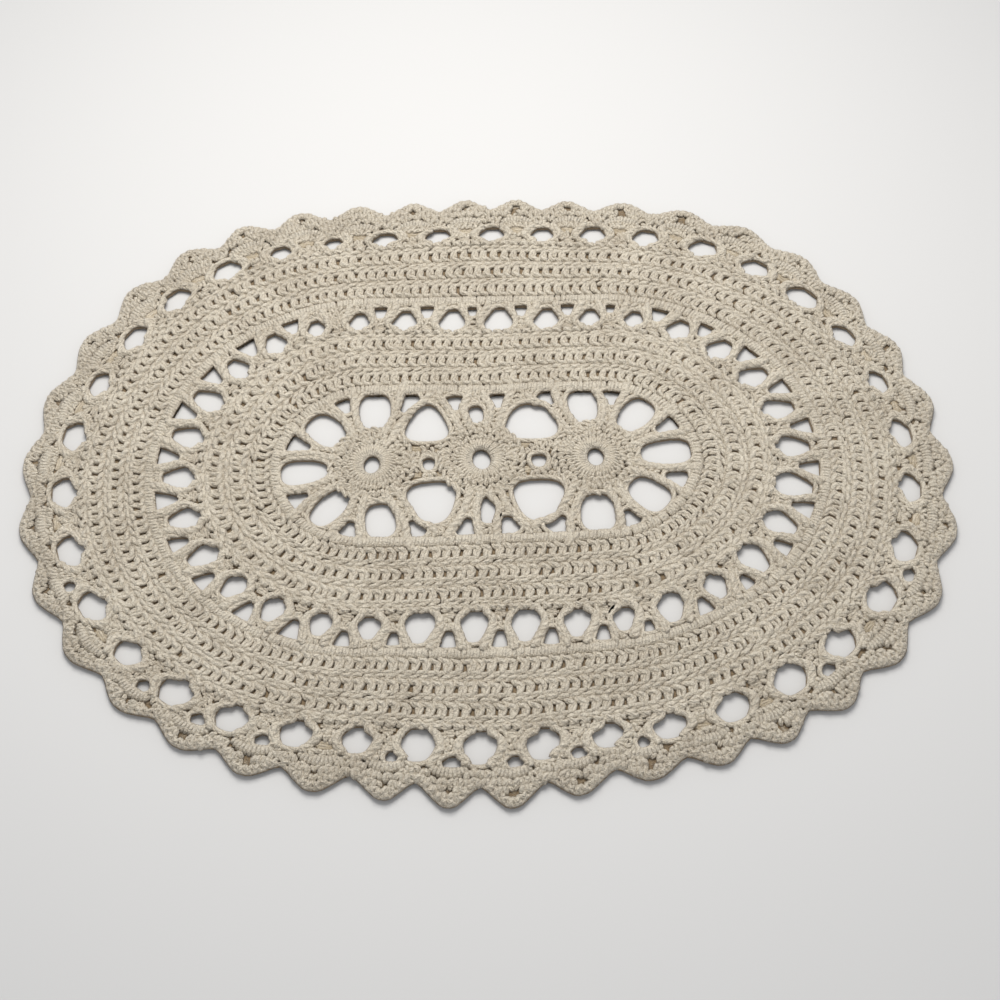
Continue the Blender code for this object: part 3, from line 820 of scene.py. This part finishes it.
large_hole_squares = np.zeros((COLS, ROWS), dtype=bool)
for hole in holes[: len(FIELD_GAPS)]:
    mark(large_hole_squares, np.array(hole))
hole_squares = np.zeros((COLS, ROWS), dtype=bool)     # no stitch starts here
for hole in holes:
    mark(hole_squares, moved_out(hole, STITCH_ROOM))
print("squares in the large holes of the field", int(large_hole_squares.sum()))

# %% [markdown]
# ## Rows of stitches in the solid bands
#
# A solid band is worked back and forth, so every second row shows its other
# face. One repeat of two rows is: two upright legs side by side, a small slit
# between neighbours, then a fat slanted loop and the chain it hooks into.
# One stitch is drawn once as four short threads and then repeated, with a
# slightly different hand each time. Counting the stitches of each row gives
# the right scale better than guessing a texture size.

# %% One stitch
# each mark of a thread: mm along, share of the row, height mm, radius mm
STITCH = (
    # the left leg
    ((-1.00, 0.30, 2.1, 1.25), (-0.85, 0.50, 2.45, 1.35), (-0.95, 0.80, 2.2, 1.25)),
    # the hook, which comes over the neighbour on the left and turns down as the right leg
    ((-3.60, 0.06, 2.1, 1.25), (-2.40, 0.18, 2.65, 1.45), (-0.60, 0.19, 2.8, 1.50),
     (0.95, 0.32, 2.75, 1.45), (0.75, 0.50, 2.6, 1.35), (0.20, 0.80, 2.2, 1.25)),
    # the loop that shuts the slit beside them
    ((0.60, 0.83, 2.0, 1.30), (2.10, 0.74, 2.8, 1.55), (3.80, 0.70, 2.1, 1.30)),
    # the chain
    ((-3.10, 1.01, 1.95, 1.25), (-1.90, 0.95, 2.4, 1.45), (-0.30, 0.90, 2.55, 1.50), (1.60, 0.85, 2.0, 1.25)),
)
STITCH_LEAN = -0.4            # mm, over one row

print("threads in a stitch", len(STITCH))

# %% A row of stitches
ROW_LINES = (0.133, 0.403, 0.663, 0.92)   # levels of the lines between the rows
ROW_OFFSET = 0.37             # each row starts this share of a stitch further on


def band_point(low, high, ref):
    """Gives a function that turns way, level, mm along and height to a point."""
    length = round_length(ref)

    def point(way, level, along, height):
        way += along / length
        a, b = edge(low, way, ref), edge(high, way, ref)
        return (*spot(way, a + (b - a) * level, ref), height)

    return point


def stretch(way, out, ref):
    """How much wider than on the straight a stitch is at this place."""
    on_bend = np.searchsorted(part_ends(ref), way % 1.0) in (2, 4)
    return out / ref if on_bend else 1.0


# a thread that fills the line where two rows meet: radius, height in mm, and
# share of the band past that line
BED, BED_HEIGHT, BED_PAST = 1.2, 1.9, 0.006


def stitch_row(skein, low, high, ref, count, row):
    """A full round of one repeat of stitches."""
    point = band_point(low, high, ref)
    inner_line, outer_line = ROW_LINES[row:row + 2]
    for k in range(count):
        way = (k + ROW_OFFSET * row + uneven(0.045)) / count
        swell = 1.0 + uneven(0.06)
        rise, lean = uneven(0.15), STITCH_LEAN + uneven(0.4)
        level = inner_line + (outer_line - inner_line) * 0.5
        out = edge(low, way, ref) * (1.0 - level) + edge(high, way, ref) * level
        fat = stretch(way, out, ref) ** 0.7
        for marks in STITCH:
            path, thick = [], []
            for along, share, height, radius in marks:
                along = along * swell * fat + lean * (share - 0.4) + uneven(0.22)
                level = inner_line + (outer_line - inner_line) * (share + uneven(0.025))
                path.append(point(way, level, along, height + rise + uneven(0.12)))
                thick.append(radius * fat * (1.0 + uneven(0.08)))
            skein.add(path, thick)
    bed = [point(k / count, outer_line + BED_PAST, 0.0, BED_HEIGHT) for k in range(count)]
    skein.add(bed, BED, closed=True)


print("rows of stitches in a band", len(ROW_LINES) - 1)

# %% Stitches of the inner band
STITCH_PITCH = 5.05           # mm, along the straight sides
INNER_COUNT, OUTER_COUNT = 118, 188            # stitches in each row of a band
INNER_REF, OUTER_REFS = 56.5, (110.0, 115.0, 118.5)

inner_rows = Skein("inner_band_stitches")
for row in range(3):
    stitch_row(inner_rows, "field", "inner_band", INNER_REF, INNER_COUNT, row)
inner_rows.wind(yarn_cotton)

# %% Stitches of the outer band
for row, ref in enumerate(OUTER_REFS):
    outer_row = Skein("outer_band_stitches_%d" % (row + 1))
    stitch_row(outer_row, "lace", "outer_band", ref, OUTER_COUNT, row)
    outer_row.wind(yarn_cotton)

# %% [markdown]
# ## The two edges of a band
#
# A band starts with stitches worked right over a chain, so its inner edge is a
# fringe of fine loops that come up round the edge and lie outwards, side by
# side. Its outer edge is the top of the last row: a plait of slanted loops.

# %% Loops over the inner edge
# mm out from the edge of the hole, height in mm
OVER_EDGE = ((2.6, 1.2), (1.5, 1.3), (1.5, 2.1), (2.6, 2.85), (4.6, 2.95), (6.3, 1.8))
LOOP_PITCH = 1.45             # mm


def edge_loops(skein, name, ref, beyond):
    """Loops side by side round the inner edge of a band."""
    narrow_ref = ref / beyond
    length = round_length(narrow_ref)
    count = round(length / LOOP_PITCH)
    for k in range(count):
        way = (k + uneven(0.1)) / count
        tilt = uneven(0.2)
        path = []
        for out, height in OVER_EDGE:
            out_here = edge(name, way, narrow_ref) + out * (1.0 + uneven(0.02))
            here = way + tilt * out / 4.0 / length
            path.append((*spot(here, out_here, narrow_ref), height + uneven(0.05)))
        skein.add(path, 1.3 * (1.0 + uneven(0.05)), steps=1)


band_edges = Skein("band_edge_loops")
edge_loops(band_edges, "field", 40.5, 1.1)
edge_loops(band_edges, "lace", 100.0, 1.08)
band_edges.wind(yarn_cotton)

# %% Plait on the outer edge
# along in mm, mm in from the edge of the band, height in mm
PLAIT_IN = ((-2.2, 3.4, 2.5), (-0.9, 2.7, 3.4), (0.9, 1.7, 3.6), (2.1, 1.3, 2.6))
PLAIT_OUT = ((-1.9, 1.3, 2.2), (-0.6, 1.2, 3.2), (1.2, 2.0, 3.5), (2.3, 3.0, 2.5))


def plait(skein, name, ref, beyond):
    """A plait of slanted loops along the outer edge of a band."""
    narrow_ref = ref / beyond
    length = round_length(narrow_ref)
    count = round(length / STITCH_PITCH)
    for k in range(count):
        way = (k + uneven(0.05)) / count
        for table in (PLAIT_IN, PLAIT_OUT):
            path = []
            for along, back, height in table:
                here = way + (along + uneven(0.1)) / length
                out = edge(name, here, narrow_ref) - back + uneven(0.12)
                path.append((*spot(here, out, narrow_ref), height + uneven(0.08)))
            skein.add(path, np.array((0.9, 1.15, 1.15, 0.9)) * (1.0 + uneven(0.05)), steps=1)


band_plaits = Skein("band_plaits")
plait(band_plaits, "inner_band", 82.5, 1.2)
plait(band_plaits, "outer_band", 140.0, 1.15)
band_plaits.wind(yarn_cotton)

# %% [markdown]
# ## Cord round every hole
#
# Whatever surrounds a hole, its border is yarn, so a thin cord follows each
# outline just inside the cloth. It lies low, and the threads above cover most
# of it, but it keeps every hole crisp and rounded.

# %% Hole cords
CORD, CORD_BACK, CORD_HEIGHT = 1.35, 0.55, 2.4   # its radius, how far it stands back, height, mm
hole_cords = Skein("hole_cords")
for hole in holes:
    path = moved_out(hole, CORD + CORD_BACK)
    steps = 3 if len(path) < 10 else 2
    hole_cords.add([(x, y, CORD_HEIGHT) for x, y in path], CORD, steps=steps, closed=True)
hole_cords.wind(yarn_cotton)

# %% [markdown]
# ## Twisted posts
#
# A tall stitch wraps the yarn round itself, so a post looks like a short rope.
# A rope is made from its middle path: three strands ride round it, a third of
# a turn apart. Only the path and its width are needed, which the holes give.

# %% A rope from its path
STRANDS = 3
ROPE_TURN = 10.0              # mm for one full turn
ROPE_STEP = 1.35              # mm between points
RIDE, RIDE_UP = 0.30, 0.75    # how far a strand rides out: share of the width, and most upwards, mm
STRAND_WIDTH = 0.70           # share of the width of the rope


def rope(skein, path, half_width, phase=0.0, turn=ROPE_TURN):
    """A rope along a path of (x, y, z); half_width is one number or one each."""
    half = np.broadcast_to(np.asarray(half_width, dtype=float), (len(path),))
    rough = np.column_stack((np.asarray(path, dtype=float), half))
    spans = np.linalg.norm(np.diff(rough[:, :2], axis=0), axis=1).sum()
    steps = max(2, round(spans / ROPE_STEP / (len(path) - 1)))
    q = smooth_path(rough, steps, False)
    centre, half = q[:, :3], q[:, 3]
    run = np.gradient(centre, axis=0)
    run /= np.linalg.norm(run, axis=1)[:, None]
    side = np.column_stack((run[:, 1], -run[:, 0], np.zeros(len(q))))
    side /= np.linalg.norm(side, axis=1)[:, None]
    up = np.cross(side, run)
    far = np.concatenate(([0.0], np.cumsum(np.linalg.norm(np.diff(centre, axis=0), axis=1))))
    for strand in range(STRANDS):
        angle = 2.0 * np.pi * (far / turn + strand / STRANDS) + phase
        ride = half * RIDE
        sideways, upwards = ride * np.cos(angle), np.minimum(ride, RIDE_UP) * np.sin(angle)
        around = centre + side * sideways[:, None] + up * upwards[:, None]
        skein.add(around, half * STRAND_WIDTH * (1.0 + uneven(0.03)), steps=1)


print("strands in a rope", STRANDS)

# %% [markdown]
# ## The round of crossed lace posts
#
# Each post has two feet on the inner band, comes together at a waist and opens
# into two arms that reach the outer band, like an X. The middle of each limb
# lies between the large hole beside it and the small hole in its fork, so its
# path is worked out from the same half outlines that cut the holes.

# %% Limbs between holes
def half_at(outline, level, outside):
    """Half width of an outline at a level, or `outside` where it is closed."""
    return float(np.interp(level, *zip(*outline), left=outside, right=outside))


LIMB_MOST, LIMB_SHARE = 2.7, 0.80   # widest half width in mm, and share of the room it takes


def limb(way, ref, inner, outer, side, to_hole, large, small, levels):
    """Path and half widths of one limb, between the large and the small hole.

    The room is measured along the round, so a slanted limb is thinner than it.
    """
    low, high = edge(inner, way), edge(outer, way)
    path, halves, alongs, outs = [], [], [], []
    for level, foot_split in levels:
        wide = to_hole - half_at(large, level, 1.2)
        split = max(half_at(small, level, 0.0), foot_split)
        half = min(LIMB_MOST, 0.5 * (wide - split) * LIMB_SHARE)
        centre = 0.5 * (wide + split) if level > 0.45 else wide - half
        along = side * centre + LACE_LEAN * (level - 0.5)
        z = 2.6 if level > -0.05 else 2.25
        path.append((*spot(way + along / round_length(ref), low + (high - low) * level, ref), z))
        halves.append(half)
        alongs.append(along)
        outs.append((high - low) * level)
    slant = np.hypot(np.gradient(alongs), np.gradient(outs))
    return path, np.array(halves) * np.maximum(np.abs(np.gradient(outs)) / slant, 0.6)


def crossed_posts(name, posts, count, way_at, hole_way, outlines_at, levels):
    """A round of posts. outlines_at gives the half outlines beside and within a post."""
    skein = Skein(name)
    for post in range(count):
        way = way_at(post)
        for side in (-1.0, 1.0):
            beside = post if side > 0.0 else post - 1
            to_hole = abs((hole_way(beside) - way + 0.5) % 1.0 - 0.5) * round_length(posts[0])
            path, halves = limb(way, *posts, side, to_hole, *outlines_at(post, beside), levels)
            path = [(x + uneven(0.12), y + uneven(0.12), z) for x, y, z in path]
            rope(skein, path, halves, phase=uneven(1.0), turn=ROPE_TURN * (1.0 + uneven(0.08)) * side)
    skein.wind(yarn_cotton)
    return skein


print("widest limb", 2.0 * LIMB_MOST, "mm")

# %% Posts of the lace
# level, and how far apart the two limbs are at least, mm
LACE_LEVELS = (
    (-0.14, 3.0), (0.0, 2.6), (0.16, 1.0), (0.33, 0.1), (0.5, 0.4),
    (0.66, 0.9), (0.82, 1.8), (0.98, 3.0), (1.12, 3.6),
)


def lace_outlines(post, beside):
    """The large hole beside a lace post, and the small one in its fork."""
    return sized(LACE_LARGE, LACE_HAND[beside][3]), sized(LACE_SMALL, max(LACE_HAND[post][1], 0.4))


lace = crossed_posts("lace_posts", LACE, LACE_POSTS, lace_way, lace_hole_way, lace_outlines, LACE_LEVELS)

# %% Posts of the edging
EDGING_LEVELS = (
    (-0.12, 3.4), (0.02, 3.0), (0.18, 1.2), (0.34, 0.1), (0.5, 0.4),
    (0.66, 1.0), (0.82, 2.0), (0.96, 3.4), (1.12, 4.2),
)
FOOT_OF_SHELL = ((0.7, 0.9), (0.97, 3.4))   # the arms part like this under a shell


def edging_outlines(_, beside):
    """The large hole beside an edging post, and the parting of its arms."""
    return sized(EDGING_LARGE, EDGING_HAND[beside][2], edging_widen(beside)), FOOT_OF_SHELL


edging = crossed_posts(
    "edging_posts", EDGING, EDGING_POSTS, edging_way, edging_hole_way, edging_outlines, EDGING_LEVELS,
)

# %% [markdown]
# ## The border of shells
#
# A shell starts as a fringe of long loops over a chain arch. Rows of V shaped
# stitches fill it to the rim, and a crease runs down its middle. The V is the
# basic mark of crochet: two slanted threads that meet at the foot.

# %% V stitches
V_SIDE = ((1.60, 1.45), (1.15, 0.0), (0.35, -1.7))   # across and outwards, mm
LOW_END = 1.9                 # height where a thread dives back into the cloth, mm


def v_stitch(skein, x, y, angle, size=1.0, thick=1.32, height=3.55, low=LOW_END):
    """One V at a point, opening in the direction of the angle."""
    for side in (-1.0, 1.0):
        three = []
        for across, outwards in V_SIDE:
            a, o = side * across * size + uneven(0.12), outwards * size + uneven(0.12)
            three.append(placed(x, y, angle, o, a))
        fat = thick * (1.0 + uneven(0.06))
        heights = (low + uneven(0.08), height + uneven(0.09), low + uneven(0.08))
        skein.add([(*point, z) for point, z in zip(three, heights)], (0.82 * fat, fat, 0.82 * fat))


print("height of a V", round(V_SIDE[0][1] - V_SIDE[-1][1], 2), "mm")

# %% Measures of a shell
ARCH_LOOPS = ((2.6, 1.2), (1.5, 1.4), (1.5, 2.1), (2.6, 2.85), (4.4, 2.95), (6.2, 1.8))   # mm out, height
FRINGE = 0.25                 # share of the width with a fringe, each way from the middle
V_ROW = 3.2                   # mm between rows of V stitches
V_PITCH = 4.3                 # mm between V stitches of a row
FRINGE_PITCH = 1.35           # mm between loops of the fringe
PIT_ROOM = 1.1                # mm kept clear round a pit
# mm in from the tip of the rim and radius: the crease down the middle
CREASE = ((4.2, 1.0), (5.7, 1.3), (7.3, 1.1), (8.9, 0.8))
# mm along from the valley, mm out from the edging and radius: the pits in the corners
CORNER_PITS = ((5.0, 3.6, 0.9), (6.3, 4.0, 1.0))
print("rows of marks for a shell", len(ARCH_LOOPS) + len(CREASE) + len(CORNER_PITS))

# %% Shells
shells = Skein("shell_fringe")
fans = Skein("shell_stitches")
pits = []                     # places that stay bare: x, y and radius
for post in range(EDGING_POSTS):
    left, right = shell_sides(post)
    width = (right - left) * EDGING_LENGTH
    loops = round(width / FRINGE_PITCH)
    middle = shifted(0.5 * (left + right))
    here_pits = []
    for deep, radius in CREASE:
        x, y = spot(middle, rim_out(middle, 0.5) - deep + uneven(0.25), EDGING_REF)
        here_pits.append((x + uneven(0.25), y + uneven(0.25), radius * max(0.5, 1.0 + uneven(0.25))))
    for corner, side in ((left, 1.0), (right, -1.0)):
        for along, out, radius in CORNER_PITS:
            here = shifted(corner + side * (along + uneven(0.5)) / EDGING_LENGTH)
            x, y = spot(here, edge("edging", here) + out + uneven(0.3), EDGING_REF)
            here_pits.append((x, y, radius * max(0.4, 1.0 + uneven(0.35))))
    pits += here_pits
    for k in range(loops):
        across = (k + 0.5) / loops
        if abs(across - 0.5) > FRINGE:
            continue
        way = left + (right - left) * across
        base = edge("edging", way) - 0.6 + 2.2 * math.sin(math.pi * across) ** 2
        path = []
        shorter = 1.0 - 0.45 * (abs(across - 0.5) / FRINGE) ** 2
        for out, height in ARCH_LOOPS:
            out *= shorter if out > 3.0 else 1.0
            fan = (across - 0.5) * 2.0 * out
            here = way + fan / EDGING_LENGTH
            path.append((*spot(here, base + out, EDGING_REF), height + uneven(0.06)))
        shells.add(path, 1.25 * (1.0 + uneven(0.05)), steps=1)
    for row in range(8):
        out_from_base = 2.1 + V_ROW * row
        count = round(width / V_PITCH)
        for k in range(count):
            across = (k + 0.5 + 0.5 * (row % 2)) / count
            if across > 1.0 or (out_from_base < 6.4 and abs(across - 0.5) < FRINGE - 0.03):
                continue
            way = shifted(left + (right - left) * across)
            out = edge("edging", way) + out_from_base + 1.2 * math.sin(math.pi * across)
            if out > rim_out(way, across) - 3.2:
                continue
            x, y = spot(way, out, EDGING_REF)
            column, line = square_at((x, y))
            in_pit = any(math.hypot(x - px, y - py) < radius + PIT_ROOM for px, py, radius in here_pits)
            if in_pit or hole_squares[column, line]:
                continue
            x2, y2 = spot(way, out + 1.0, EDGING_REF)
            v_stitch(fans, x, y, math.atan2(y2 - y, x2 - x) + uneven(0.3), 1.05, 1.5)
shells.wind(painted_shade_border_cotton)
fans.wind(painted_shade_border_cotton)

# %% Plait on the rim
# along in mm, mm in from the rim, height in mm
RIM_OUT = ((-1.7, 0.2, 1.7), (-0.3, 0.4, 2.8), (1.1, 1.6, 3.2), (2.3, 2.9, 2.3))
RIM_IN = ((-2.0, 3.0, 2.3), (-0.9, 1.7, 3.2), (0.8, 0.5, 2.9), (1.9, 0.3, 1.6))
RIM_PITCH, RIM_SQUEEZE = 3.9, 0.85   # mm between repeats, and how much shorter a loop is
rim_plait = Skein("rim_plait")
fine = smooth_path(moved_out(rim, -1.2), 4, True)
gaps = np.linalg.norm(np.diff(fine, axis=0, append=fine[:1]), axis=1)
far = np.concatenate(([0.0], np.cumsum(gaps)))
count = round(far[-1] / RIM_PITCH)


def on_rim(at):
    """Point and inward direction at a distance along the rim."""
    at = at % far[-1]
    i = int(np.searchsorted(far, at, side="right")) - 1
    a, b = fine[i % len(fine)], fine[(i + 1) % len(fine)]
    run = (b - a) / (np.linalg.norm(b - a) + 1e-9)
    return a + run * (at - far[i]), np.array((-run[1], run[0]))


rim_plait.add([(x, y, 1.75) for x, y in moved_out(rim, -1.45)], 1.4, closed=True)
for k in range(count):
    at = far[-1] * k / count
    for table in (RIM_OUT, RIM_IN):
        path = []
        for a, d, h in table:
            p, inward = on_rim(at + a * RIM_SQUEEZE + uneven(0.08))
            path.append((*(p + inward * (d + uneven(0.08))), h + uneven(0.08)))
        rim_plait.add(path, 1.15 * (1.0 + uneven(0.05)))
rim_plait.wind(painted_shade_border_cotton)

# %% [markdown]
# ## Three rosettes
#
# Each rosette starts from a ring of yarn. Long loops are worked over the ring,
# then come two rounds of V stitches, and a round of slanted loops shuts it.

# %% Rosettes
ROSETTE_LOOPS, EDGE_LOOPS = 40, 30
# mm out from the eye and height, then mm out from the middle and height
OVER_RING, TO_EDGE = ((1.9, 0.95), (0.9, 1.3), (0.9, 2.5)), ((7.2, 3.7), (10.0, 3.5), (12.2, 2.2))
LOOP_RADII = (0.6, 0.65, 0.7, 0.85, 1.0, 1.0)
V_ROUNDS = ((13.2, 20), (16.8, 25))         # mm out from the middle, number of stitches
# turn, mm out from the middle, height in mm
SLANTED = ((-0.13, 19.2, 2.3), (-0.05, 19.6, 3.2), (0.06, 20.6, 3.3), (0.13, 21.0, 2.2))
rosettes = Skein("rosettes")
for (x, y), (ex, ey, eye_turn, eye_length, eye_near, eye_far) in zip(ROSETTES, ROSETTE_EYES):
    half_length, half_width = eye_length / 2.0, (eye_near + eye_far) / 4.0
    for k in range(ROSETTE_LOOPS):
        angle = 2.0 * math.pi * (k + uneven(0.08)) / ROSETTE_LOOPS
        t = angle - math.radians(eye_turn)
        eye_radius = 1.0 / math.hypot(math.cos(t) / half_length, math.sin(t) / half_width)
        path = [(*placed(ex, ey, angle, eye_radius + r), h) for r, h in OVER_RING]
        path += [(*placed(x, y, angle, r), h + uneven(0.05)) for r, h in TO_EDGE]
        rosettes.add(path, LOOP_RADII)
    for radius, count in V_ROUNDS:
        for k in range(count):
            angle = 2.0 * math.pi * (k + 0.17 * radius + uneven(0.08)) / count
            v_stitch(rosettes, *placed(x, y, angle, radius), angle + uneven(0.4))
    for k in range(EDGE_LOOPS):
        angle = 2.0 * math.pi * (k + uneven(0.05)) / EDGE_LOOPS
        path = []
        for a, r, h in SLANTED:
            path.append((*placed(x, y, angle + a, r), h + uneven(0.08)))
        rosettes.add(path, 1.05 * (1.0 + uneven(0.05)))
rosettes.wind(yarn_cotton)

# %% [markdown]
# ## Forked legs
#
# Each rosette is held by legs shaped like a Y: two ropes start together at the
# rosette and part at a small hole. The small holes were noted above, so the
# ropes are set from them: beside the hole, then back to the nearest rosette.

# %% Legs of the field
def room(x, y, dx, dy, most):
    """Distance from a point, in one direction, to the nearest large hole."""
    for step in np.arange(0.0, most, 0.25):
        i, j = square_at((x + dx * step, y + dy * step))
        if large_hole_squares[i, j]:
            return float(step)
    return most


BAR, STEM, BAR_LEAST = 2.5, 2.6, 1.6   # half widths: widest bar, widest stem, thinnest bar, mm
LEG_ROOM, LEG_HEIGHT = 9.0, 2.3        # how far it looks for a hole, and height, mm
legs = Skein("forked_legs")
for x, y, turn, length, near, wide in FORK_GAPS:
    c, s = math.cos(math.radians(turn)), math.sin(math.radians(turn))
    apex = (x - c * length / 2.0, y - s * length / 2.0)
    rx, ry = min(ROSETTES, key=lambda r: math.hypot(r[0] - apex[0], r[1] - apex[1]))
    reach = math.hypot(apex[0] - rx, apex[1] - ry)
    ux, uy = (apex[0] - rx) / reach, (apex[1] - ry) / reach
    for side in (-1.0, 1.0):
        path, halves = [], []
        for out in (17.0, 20.5, 0.5 * (20.0 + reach)):
            if out > reach - 1.5:
                continue
            px, py = rx + ux * out, ry + uy * out
            half = min(STEM, 0.5 * room(px, py, -side * uy, side * ux, LEG_ROOM))
            path.append((px - side * half * uy, py + side * half * ux, LEG_HEIGHT))
            halves.append(half)
        for share in (-0.42, -0.1, 0.22, 0.5):
            u, v = share * length, 0.5 * (near + (wide - near) * (share + 0.5)) * 0.93
            px, py = placed(x, y, math.radians(turn), u, side * v)
            half = max(BAR_LEAST, min(BAR, 0.5 * room(px, py, -side * s, side * c, LEG_ROOM)))
            path.append((px - side * half * s, py + side * half * c, LEG_HEIGHT))
            halves.append(half)
        path.append((*placed(*path[-1][:2], math.radians(turn), 4.5), 2.2))
        halves.append(halves[-1])
        rope(legs, path, halves, phase=uneven(1.0), turn=ROPE_TURN * side)
legs.wind(yarn_cotton)

# %% [markdown]
# ## Filling stitches
#
# What is still bare between the posts, legs and fans is filled with V stitches.
# A map of half millimetre squares notes where threads already lie, and a V is
# put on each bare square in turn. This is how a crafter fills a shape too: look
# where it is open, and work a stitch there. The solid bands are left alone,
# because their slits are meant to stay open. The hollows where a join leaves
# the cloth low get a few flat threads instead, which lie deeper.

# %% Stamps on the map
COVER, CORD_COVER = 1.25, 0.9   # a thread or a cord hides the cloth this far out, mm
reach = range(-8, 9)


def stamp(squares, points, radius):
    """Sets True the squares within a radius of each point."""
    disc = np.array([(i, j) for i in reach for j in reach if math.hypot(i, j) * SQUARE <= radius])
    cells = (square_at(points)[:, None] + disc[None]).reshape(-1, 2)
    cells = cells[np.all((cells >= 0) & (cells < (COLS, ROWS)), axis=1)]
    squares[cells[:, 0], cells[:, 1]] = True


print("squares of the map", COLS * ROWS)

# %% Hollows
# hollows of the field: x, y, half width and half depth, mm
HOLLOWS = [
    (-34.6, 8.0, 4.0, 1.7), (-22.4, 7.6, 3.4, 1.3), (-34.5, -5.8, 4.2, 1.7), (-21.7, -6.6, 3.2, 1.3),
    (18.4, 9.6, 3.4, 1.6), (18.3, -4.7, 4.6, 1.8), (32.9, 7.0, 2.6, 1.0), (33.4, -5.7, 2.8, 1.1),
    (-9.4, -18.6, 2.2, 1.1), (43.5, -18.0, 2.4, 1.1), (43.8, 19.9, 1.8, 0.9),
    (-45.2, -18.5, 2.4, 1.2), (9.7, -18.5, 2.2, 1.1), (-45.6, 18.9, 2.2, 1.2),
]
PAD_PITCH, PAD_THICK = 1.25, 1.05   # mm between the threads, and their radius
PIT_PAD, DEEP_PAD, SHALLOW_PAD = 1.2, 1.6, 2.1   # heights of their threads, mm

hollows = [(x, y, wide, deep, 0.0, DEEP_PAD) for x, y, wide, deep in HOLLOWS]
for x, y, radius in pits:
    hollows.append((x, y, radius, 0.5, 0.0, PIT_PAD))


def round_hollow(way, low, high, ref, share, wide, deep, height):
    """Adds a hollow along a round, at a share of the way out from its inner edge."""
    out = low + share * (high - low)
    (x, y), (past_x, past_y) = spot(way, out, ref), spot(way + 0.002, out, ref)
    hollows.append((x, y, wide, deep, math.atan2(past_y - y, past_x - x), height))


for post in range(EDGING_POSTS):
    way = edging_way(post)
    low, high = edge("outer_band", way), edge("edging", way)
    round_hollow(way, low, high, EDGING_REF, 0.07, 3.4, 1.6, SHALLOW_PAD)
    if EDGING_HAND[post][0] == 0.0:
        round_hollow(way, low, high, EDGING_REF, 0.80, 4.6, 1.9, DEEP_PAD)
for post in range(LACE_POSTS):
    way = lace_way(post)
    low, high = edge("inner_band", way), edge("lace", way)
    round_hollow(way, low, high, LACE_REF, 0.06, 3.4, 1.6, SHALLOW_PAD)
print("hollows", len(hollows))

# %% Squares a thread covers
covered = np.zeros((COLS, ROWS), dtype=bool)
for skein in (inner_rows, band_edges, band_plaits, lace, edging, shells, fans, rim_plait, rosettes, legs):
    stamp(covered, np.concatenate(skein.centres), COVER)
stamp(covered, np.concatenate(hole_cords.centres), CORD_COVER)
for x, y, wide, deep, angle, height in hollows:
    stamp(covered, [placed(x, y, angle, a * wide) for a in (-0.6, 0.0, 0.6)], deep + 1.2)
print("covered share of the map", round(float(covered.mean()), 3))

# %% Squares that may be filled
def ring_squares(name, grow):
    """Squares inside the outer limit of a round."""
    squares = np.zeros((COLS, ROWS), dtype=bool)
    ref = ROUND_REF[COLUMNS.index(name)]
    mark(squares, np.array([spot(k / 400.0, edge(name, k / 400.0) + grow, ref) for k in range(400)]))
    return squares


fillable = np.zeros((COLS, ROWS), dtype=bool)
mark(fillable, moved_out(rim, -1.8))
fillable &= ~(ring_squares("outer_band", -1.0) & ~ring_squares("lace", 1.0))
fillable &= ~(ring_squares("inner_band", -1.0) & ~ring_squares("field", 1.0))
fillable &= ~hole_squares
print("bare squares to fill", int((fillable & ~covered).sum()))

# %% Fill the bare places
FILL_SPACING = 2.6            # mm

filling = Skein("filling_stitches")
for i, j in np.argwhere(fillable & ~covered):
    if covered[i, j]:
        continue
    x, y = (i - COLS // 2) * SQUARE, (j - ROWS // 2) * SQUARE
    core = max(-HALF_STRAIGHT, min(HALF_STRAIGHT, x))
    facing = math.atan2(y, x - core)
    v_stitch(filling, x, y, facing + uneven(0.6), 1.0, 1.25, 3.0 + uneven(0.15), 1.5)
    stamp(covered, [(x, y)], FILL_SPACING)
low_threads = Skein("low_threads")
for x, y, wide, deep, angle, height in hollows:
    skein = low_threads if height == DEEP_PAD else filling
    rows = max(1, round(2.0 * deep / PAD_PITCH))
    for row in range(rows):
        off = (row - 0.5 * (rows - 1)) * PAD_PITCH
        reach = wide * max(0.3, 1.0 - (off / (deep + 0.6)) ** 2)
        path = [(*placed(x, y, angle, a * reach, off), height + uneven(0.08)) for a in (-1.0, 0.0, 1.0)]
        skein.add(path, PAD_THICK)
filling.wind(yarn_cotton)
low_threads.wind(hollow_cotton)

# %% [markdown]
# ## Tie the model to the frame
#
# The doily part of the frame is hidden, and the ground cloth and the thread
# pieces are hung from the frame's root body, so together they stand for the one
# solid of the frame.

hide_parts("doily")
for piece in [ground] + thread_pieces:
    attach(piece, "root")
print("pieces", len(thread_pieces) + 1)
